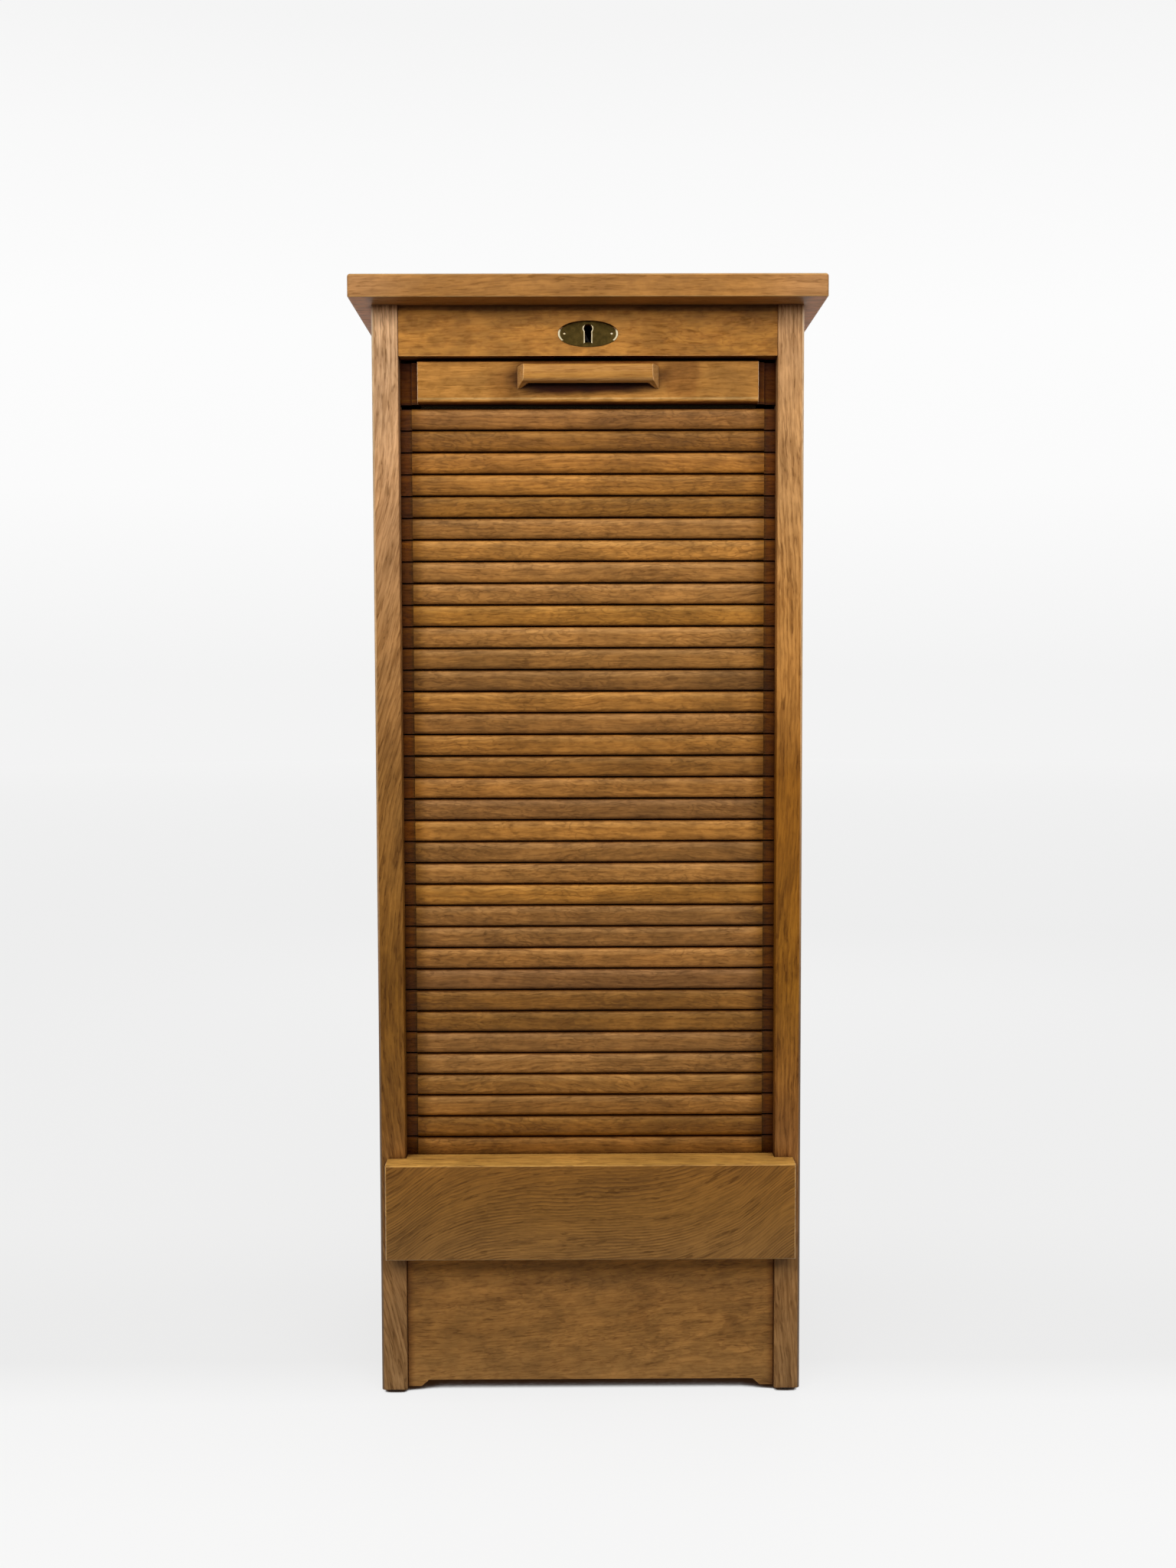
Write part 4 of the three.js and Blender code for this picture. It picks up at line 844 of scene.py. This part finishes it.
# Canvas: plain-woven cotton, stretched and glued to the backs of the slats with hide glue, which
# has soaked through in brown bands. It is one length; here its upper part goes with the lead
# rail, and the rest is gathered down with the lower slats.
CANVAS_WIDTH = 0.360
CANVAS_THICKNESS = 0.0007
CANVAS_MIDDLE = SLAT_BACK + 0.0007
CANVAS_TOP = 1.115
CANVAS_SPLIT = FIRST_GAP_LINE - 6 * SLAT_PITCH
CANVAS_END = FIRST_GAP_LINE - SLAT_COUNT * SLAT_PITCH
THREAD_SPACING = 0.0011
DIP = 0.00018
COLUMNS = 24
ROWS_A_SLAT = 8
RAGGED_BY = 0.0004
CANVAS_DARK = "#7d7054"
CANVAS_PALE = "#a1936f"
CANVAS_GLUE = "#6e5632"
CANVAS_GAP_SHADE = "#1d120a"

# Cotton duck is matt, with a plain weave that catches the light and thicker threads here and there.
canvas, tree, shader, place = bare("woven cotton canvas")
apart = put(tree, "ShaderNodeSeparateXYZ", {0: place}).outputs
# Real duck has a thread each 0.6 mm; it is drawn at 1.1 mm so that the weave shows.
threads = []
for axis in ("X", "Z"):
    turns = put(tree, "ShaderNodeMath", {0: apart[axis], 1: math.pi / THREAD_SPACING}, operation="MULTIPLY")
    threads.append(put(tree, "ShaderNodeMath", {0: turns}, operation="SINE"))
weave = put(tree, "ShaderNodeMath", {0: threads[0], 1: threads[1]}, operation="MULTIPLY")
stretched = put(tree, "ShaderNodeVectorMath", {0: place, 1: (60, 400, 700)}, operation="MULTIPLY")
slub = put(tree, "ShaderNodeTexNoise", {"Vector": stretched, "Scale": 1.0, "Detail": 3.0})
depth = put(tree, "ShaderNodeMath", {0: FIRST_GAP_LINE, 1: apart["Z"]}, operation="SUBTRACT")
turns = put(tree, "ShaderNodeMath", {0: depth, 1: 2 * math.pi / SLAT_PITCH}, operation="MULTIPLY")
band = put(tree, "ShaderNodeMath", {0: turns}, operation="COSINE")
patchy = put(tree, "ShaderNodeTexNoise", {"Vector": place, "Scale": 45.0, "Detail": 3.0})
soak = put(tree, "ShaderNodeMath", {0: band, 1: -0.35, 2: patchy}, operation="MULTIPLY_ADD")
# Glue has browned the cloth in patches behind the slats. At each gap the cloth is darkened on
# both sides: painted shade where the gaps show it.
colour = put(tree, "ShaderNodeMix", {0: slub, 6: stain(CANVAS_DARK), 7: stain(CANVAS_PALE)},
             data_type="RGBA")
for value, low, high, tint in ((soak, 0.45, 0.9, CANVAS_GLUE), (band, 0.55, 0.95, CANVAS_GAP_SHADE)):
    share = put(tree, "ShaderNodeMapRange", {"Value": value, 1: low, 2: high})
    colour = put(tree, "ShaderNodeMix", {0: share, 6: colour, 7: stain(tint)}, data_type="RGBA")
relief = put(tree, "ShaderNodeBump", {"Strength": 0.5, "Distance": 0.0003, "Height": weave})
feed(shader, {"Base Color": colour, "Roughness": 0.9, "Sheen Weight": 0.05, "Specular IOR Level": 0.1,
              "Normal": relief})


def canvas_strip(name, bottom, top):
    """A strip of canvas that dips a little into each gap between two slats."""
    work = bmesh.new()
    rows = round((top - bottom) / SLAT_PITCH * ROWS_A_SLAT)
    grid = []
    for row in range(rows + 1):
        z = bottom + (top - bottom) * row / rows
        gap = math.cos(2 * math.pi * (FIRST_GAP_LINE - z) / SLAT_PITCH)
        dip = DIP * max(0.0, gap) ** 6 if z < FIRST_GAP_LINE + 0.002 else 0.0
        line = []
        for column in range(COLUMNS + 1):
            ragged = RAGGED_BY * math.sin(z * 160 + column) if column in (0, COLUMNS) else 0.0
            x = CANVAS_WIDTH * (column / COLUMNS - 0.5) + ragged
            line.append(work.verts.new((x, CANVAS_MIDDLE - dip, z)))
        grid.append(line)
    for below, above in zip(grid, grid[1:]):
        for c in range(COLUMNS):
            work.faces.new((below[c], below[c + 1], above[c + 1], above[c]))
    piece = finished(name, work, canvas)
    thick = piece.modifiers.new("cloth thickness", "SOLIDIFY")
    thick.thickness = CANVAS_THICKNESS
    thick.offset = 0
    return piece


upper_canvas = canvas_strip("canvas_upper", CANVAS_SPLIT, CANVAS_TOP)
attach(upper_canvas, "shutter")
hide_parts("canvas")
lower_canvas = canvas_strip("canvas_lower", CANVAS_END, CANVAS_SPLIT)
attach(lower_canvas, "carcase")
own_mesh(lower_canvas)

# Lead rail: the thick oak rail that leads the shutter, with stepped ends that run in the grooves
# and rounded arrises. The arrises get a pale finish: painted highlight, brightest along the ends of
# the block and the lower arris. The recessed ends and the face under the handle carry painted
# shade, and stain lies dark beside the handle.
LEAD_PALE = "#b8803d"
LEAD_BROWN = "#85571f"
LEAD_PORE = "#58340f"
LEAD_PALE_HIGHLIGHT = "#e3bd8e"
LEAD_ARRIS = 0.0013
# Painted shade on the recessed ends, a painted highlight on the block's end arrises, and painted shade in the
# corners.
LEAD_END_SHADE = ((0.1822, 0.0004, 0.33, 0.22, 0.03),)
LEAD_END_HIGHLIGHT_AND_SHADE = ((0.1806, 0.0003, 1.7, 2.0, 2.6), (0.1822, 0.0004, 0.15, 0.08, 0.01))
LEAD_CORNER_SHADE = (0.024, 0.36, 0.88)
# Two clouds of stain beside the handle, the handle's painted shadow below it, a painted highlight along the
# lower arris, and painted shade under that.
LEAD_STAIN_SHADE_AND_HIGHLIGHT = (((0.098, 1.100), (0.020, 0.022), 0.66, 0.60, 0.56),
              ((-0.090, 1.088), (0.017, 0.020), 0.78, 0.74, 0.70),
              ((0.0, 1.0974), (0.082, 0.0173), 0.07, 0.03, 0.01),
              ((0.0, 1.0797), (0.300, 0.0013), 1.2, 1.5, 2.4),
              ((0.0, 1.0750), (0.300, 0.0024), 0.40, 0.30, 0.20))

lead_oak = stained_oak("waxed oak, lead rail", LEAD_PALE, LEAD_BROWN, LEAD_PORE, "x", (-0.05, -0.10, 1.03),
                       0.05, ring=0.008, wander=0.007, rings=0.5, streaks=0.3, pores=0.35, flecks=0.3,
                       clouds=0.18, seed=12.7, end_shade=LEAD_END_SHADE, corners=LEAD_CORNER_SHADE,
                       local_tints=LEAD_STAIN_SHADE_AND_HIGHLIGHT, shine=0.08)
lead_highlight_finish = stained_oak("waxed oak arris, lead rail", LEAD_PALE_HIGHLIGHT, LEAD_PALE, LEAD_BROWN, seed=12.7,
                        rough=0.32, shine=0.4, end_shade=LEAD_END_HIGHLIGHT_AND_SHADE, corners=LEAD_CORNER_SHADE)
lead = eased("lead_rail", "lead_rail_oak", LEAD_ARRIS, lead_oak, lead_highlight_finish)
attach(lead, "shutter")
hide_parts("lead_rail")

# Strike plate: a strip of brass let into the top of the lead rail, with the slot where the
# lock's hook catches, and a countersunk screw at each end. The hook keeps it cleaner than the plate.
STRIKE_ARRIS = 0.0003
STRIKE_SCREW_IN = 0.006
STRIKE_SCREW_HEAD = 0.0028
STRIKE_SCREW_PROUD = 0.0002
STRIKE_SCREW_SLOT = 0.0007

strike_brass = metal("aged brass, strike plate", "#b39552", "#7c6634", "#4a3c1e", 0.3,
                     (900.0, 40.0, 900.0))
strike = eased("strike_plate", "strike_plate_brass", STRIKE_ARRIS, strike_brass, strike_brass)
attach(strike, "shutter")
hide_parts("strike_plate")
low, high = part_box("strike_plate")
work = bmesh.new()
for x, turn in ((low.x + STRIKE_SCREW_IN, 0.4), (high.x - STRIKE_SCREW_IN, 1.9)):
    screw_head(work, Vector((x, (low.y + high.y) / 2, high.z)), Vector((0, 0, 1)), STRIKE_SCREW_HEAD,
               STRIKE_SCREW_PROUD, STRIKE_SCREW_SLOT, turn)
strike_screws = finished("strike_plate_screws", work, screw_brass)
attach(strike_screws, "shutter")

# Handle: an oak bar with a round nose, bevelled at both ends and hollowed below for the fingers,
# glued and screwed to the lead rail. Handling has kept it the brightest piece of wood. The lower
# part of its nose is darkened with painted shade, and its end bevels get the paler finish: painted
# light.
GRIP_PALE = "#bf873f"
GRIP_BROWN = "#996428"
GRIP_PORE = "#6f4113"
GRIP_PALE_LIT_ENDS = "#d6a468"
GRIP_ARRIS = 0.0009
GRIP_BEVEL = 0.009
GRIP_NOSE_SHADE = (((0.0, 1.0958), (0.300, 0.0036), 0.78, 0.81, 0.97),)

grip_oak = stained_oak("polished oak, handle", GRIP_PALE, GRIP_BROWN, GRIP_PORE, "x", (0, -0.13, 1.06),
                       0.02, rings=0.5, streaks=0.4, pores=0.4, flecks=0.12, clouds=0.1, seed=14.1,
                       rough=0.34, shine=0.25, local_tints=GRIP_NOSE_SHADE)
grip_lit_ends_finish = stained_oak("polished oak arris, handle", GRIP_PALE_LIT_ENDS, GRIP_PALE, GRIP_BROWN, seed=14.1,
                        rough=0.3, shine=0.5)
grip_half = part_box("handle")[1].x
grip = eased("handle", "handle_oak", GRIP_ARRIS, grip_oak, grip_lit_ends_finish, 3,
             lambda face: abs(face.normal.x) > 0.8 and face.normal.x * face.center.x > 0 and
             abs(face.center.x) > grip_half - GRIP_BEVEL)
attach(grip, "shutter")
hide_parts("handle")

# Glides: dark hard-felt discs with a domed foot, pinned under the four corners. Each was pressed
# from one felt blank, so it is one turned shape with a soft edge.
GLIDE_SEGMENTS = 32
WOOL_DARK = "#2a1d14"
WOOL_PALE = "#5a4634"
WOOL_DUST = "#7d6f60"

# Pressed wool has no grain: short hairs lie every way, so it is matt, dark and a little dusty.
felt, tree, shader, place = bare("hard brown felt, pressed")
hairs = put(tree, "ShaderNodeTexNoise", {"Vector": place, "Scale": 2600.0, "Detail": 4.0, "Distortion": 1.5})
dust = put(tree, "ShaderNodeTexNoise", {"Vector": place, "Scale": 300.0, "Detail": 3.0})
wool = put(tree, "ShaderNodeMix", {0: hairs, 6: stain(WOOL_DARK), 7: stain(WOOL_PALE)}, data_type="RGBA")
dusty = put(tree, "ShaderNodeMapRange", {"Value": dust, 1: 0.5, 2: 0.8, 3: 0.0, 4: 0.4})
dusted = put(tree, "ShaderNodeMix", {0: dusty, 6: wool, 7: stain(WOOL_DUST)}, data_type="RGBA")
nap = put(tree, "ShaderNodeBump", {"Strength": 0.6, "Distance": 0.0002, "Height": hairs})
feed(shader, {"Base Color": dusted, "Roughness": 0.95, "Sheen Weight": 0.3, "Normal": nap})

work = bmesh.new()
glide_nodes = [f"glide_{end}_{side}" for end in ("front", "rear") for side in ("left", "right")]
for node in glide_nodes:
    low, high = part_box(node)
    middle, radius = (low + high) / 2, (high.x - low.x) / 2
    rings = []
    for share, z in ((0.80, low.z), (0.88, low.z + 0.0003), (0.95, low.z + 0.0012), (1.0, low.z + 0.0028),
                     (0.99, high.z - 0.0003), (0.96, high.z)):
        angles = [2 * math.pi * i / GLIDE_SEGMENTS for i in range(GLIDE_SEGMENTS)]
        rings.append([work.verts.new((middle.x + radius * share * math.cos(angle),
                                      middle.y + radius * share * math.sin(angle), z)) for angle in angles])
    capped(work, rings)
glides = finished("glides_felt", work, felt)
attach(glides, "carcase")
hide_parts(*glide_nodes)

# Studio: a wide pale floor that keeps a soft shadow, an even white surround, and soft lamps from
# the front and above, with weaker ones round the sides and back.
FLOOR_RADIUS = 14.0
# The floor's tone as the camera sees it follows Y: a painted soft shadow in a band round the cabinet's foot,
# paler in front and far away.
FLOOR_TONES = ((-0.45, 0.952), (15.0, 1.0), (-0.20, 0.932), (-0.09, 0.855), (0.10, 0.858), (0.41, 0.888),
               (1.36, 0.897), (3.5, 0.934), (6.0, 0.950), (9.0, 0.966), (12.0, 0.986))
SURROUND_TONES = ((0.0, 0.897), (1.0, 0.90), (0.034, 0.919), (0.10, 0.965), (0.19, 0.975), (0.28, 0.947),
                  (0.34, 0.912))
FILL_TONES = ((0.0, 0.03), (1.0, 0.38), (0.49, 0.05))
UNDER_PLINTH_SHADOW = "#2a190c"


def seen_directly(tree):
    """1 for what the camera, a gloss or a glass sees, 0 for light that falls on something."""
    path = put(tree, "ShaderNodeLightPath").outputs
    seen = path["Is Camera Ray"]
    for other in ("Is Glossy Ray", "Is Transmission Ray"):
        seen = put(tree, "ShaderNodeMath", {0: seen, 1: path[other]}, operation="MAXIMUM")
    return seen


floor_mesh = bpy.data.meshes.new("studio_floor")
work = bmesh.new()
bmesh.ops.create_circle(work, cap_ends=True, segments=96, radius=FLOOR_RADIUS)
work.to_mesh(floor_mesh)
work.free()
floor = bpy.data.objects.new("studio_floor", floor_mesh)
bpy.context.scene.collection.objects.link(floor)
paper, tree, shader, place = bare("studio paper")
tree.nodes.remove(shader)
apart = put(tree, "ShaderNodeSeparateXYZ", {0: place}).outputs
# Painted shadow: the tone by Y darkens the floor round the cabinet's foot.
seen_tone = graded(tree, apart["Y"], FLOOR_TONES)
# Under the plinth, where hardly any light gets in, ambient occlusion paints the floor dark brown: a painted
# shadow.
ao_shade = put(tree, "ShaderNodeAmbientOcclusion", {"Distance": 0.035}, samples=24).outputs["AO"]
open_part = put(tree, "ShaderNodeMapRange", {"Value": ao_shade, 1: 0.215, 2: 0.31},
                interpolation_type="SMOOTHSTEP")
shaded = put(tree, "ShaderNodeMix", {0: open_part, 6: stain(UNDER_PLINTH_SHADOW), 7: seen_tone}, data_type="RGBA")
seen_white = put(tree, "ShaderNodeEmission", {"Color": shaded, "Strength": 1.0})
seen = seen_directly(tree)
bounce = put(tree, "ShaderNodeMix", {0: seen, 6: (0.15, 0.15, 0.15, 1), 7: (0.8, 0.8, 0.79, 1)},
             data_type="RGBA")
lit_paper = put(tree, "ShaderNodeBsdfDiffuse", {"Color": bounce})
share = put(tree, "ShaderNodeMath", {0: seen, 1: 0.88}, operation="MULTIPLY")
mixed = put(tree, "ShaderNodeMixShader", {0: share, 1: lit_paper, 2: seen_white})
feed(tree.nodes["Material Output"], {"Surface": mixed})
floor_mesh.materials.append(paper)

world = bpy.data.worlds.new("studio surround")
bpy.context.scene.world = world
world.use_nodes = True
tree = world.node_tree
direction = put(tree, "ShaderNodeTexCoord").outputs["Generated"]
upward = put(tree, "ShaderNodeSeparateXYZ", {0: direction}).outputs["Z"]
rise = put(tree, "ShaderNodeMath", {0: upward, 1: 0.5, 2: 0.5}, operation="MULTIPLY_ADD")
around = put(tree, "ShaderNodeMix", {0: seen_directly(tree), 6: graded(tree, rise, FILL_TONES),
                                     7: graded(tree, upward, SURROUND_TONES)}, data_type="RGBA")
feed(tree.nodes["Background"], {"Color": around})

# Each lamp is a soft sheet of light: where it hangs, what it points at, its size and its watts.
for name, spot, aim, width, height, watts in (
        ("front softbox", (-0.10, -1.92, 1.76), (0, -0.15, 0.9), 3.4, 1.1, 53.0),
        ("left wall bounce", (-2.4, 0.3, 1.6), (0, 0, 0.7), 1.8, 1.6, 10.0),
        ("right wall bounce", (2.4, 0.1, 1.6), (0, 0, 0.7), 1.8, 1.6, 12.0),
        ("rear wall bounce", (0.3, 2.5, 1.9), (0, 0, 0.7), 2.0, 1.6, 26.0)):
    lamp = bpy.data.lights.new(name, "AREA")
    lamp.shape = "RECTANGLE"
    lamp.size = width
    lamp.size_y = height
    lamp.energy = watts
    light = bpy.data.objects.new(name, lamp)
    light.location = spot
    light.rotation_euler = (Vector(aim) - Vector(spot)).to_track_quat("-Z", "Y").to_euler()
    light.visible_glossy = False
    light.visible_camera = False
    bpy.context.scene.collection.objects.link(light)

# Camera: where the photograph was taken from and which way it looked, in degrees, found from the
# cabinet's own corners and gap lines. It stands two metres in front, and looks down a little.
CAMERA_PLACE = (-0.0126, -2.0545, 0.7889)
CAMERA_LENS = 40.18
CAMERA_SENSOR = 36.0
CAMERA_TURN = -0.345
CAMERA_TILT = -3.653
CAMERA_ROLL = -0.160

camera = bpy.data.objects.new("photograph camera", bpy.data.cameras.new("photograph camera"))
camera.data.lens = CAMERA_LENS
camera.data.sensor_width = CAMERA_SENSOR
stand = Matrix.Translation(CAMERA_PLACE)
for degrees, axis in ((CAMERA_TURN, "Z"), (90 + CAMERA_TILT, "X"), (CAMERA_ROLL, "Z")):
    stand = stand @ Matrix.Rotation(math.radians(degrees), 4, axis)
camera.matrix_world = stand
bpy.context.scene.collection.objects.link(camera)
bpy.context.scene.camera = camera
bpy.context.scene.view_settings.view_transform = "Standard"
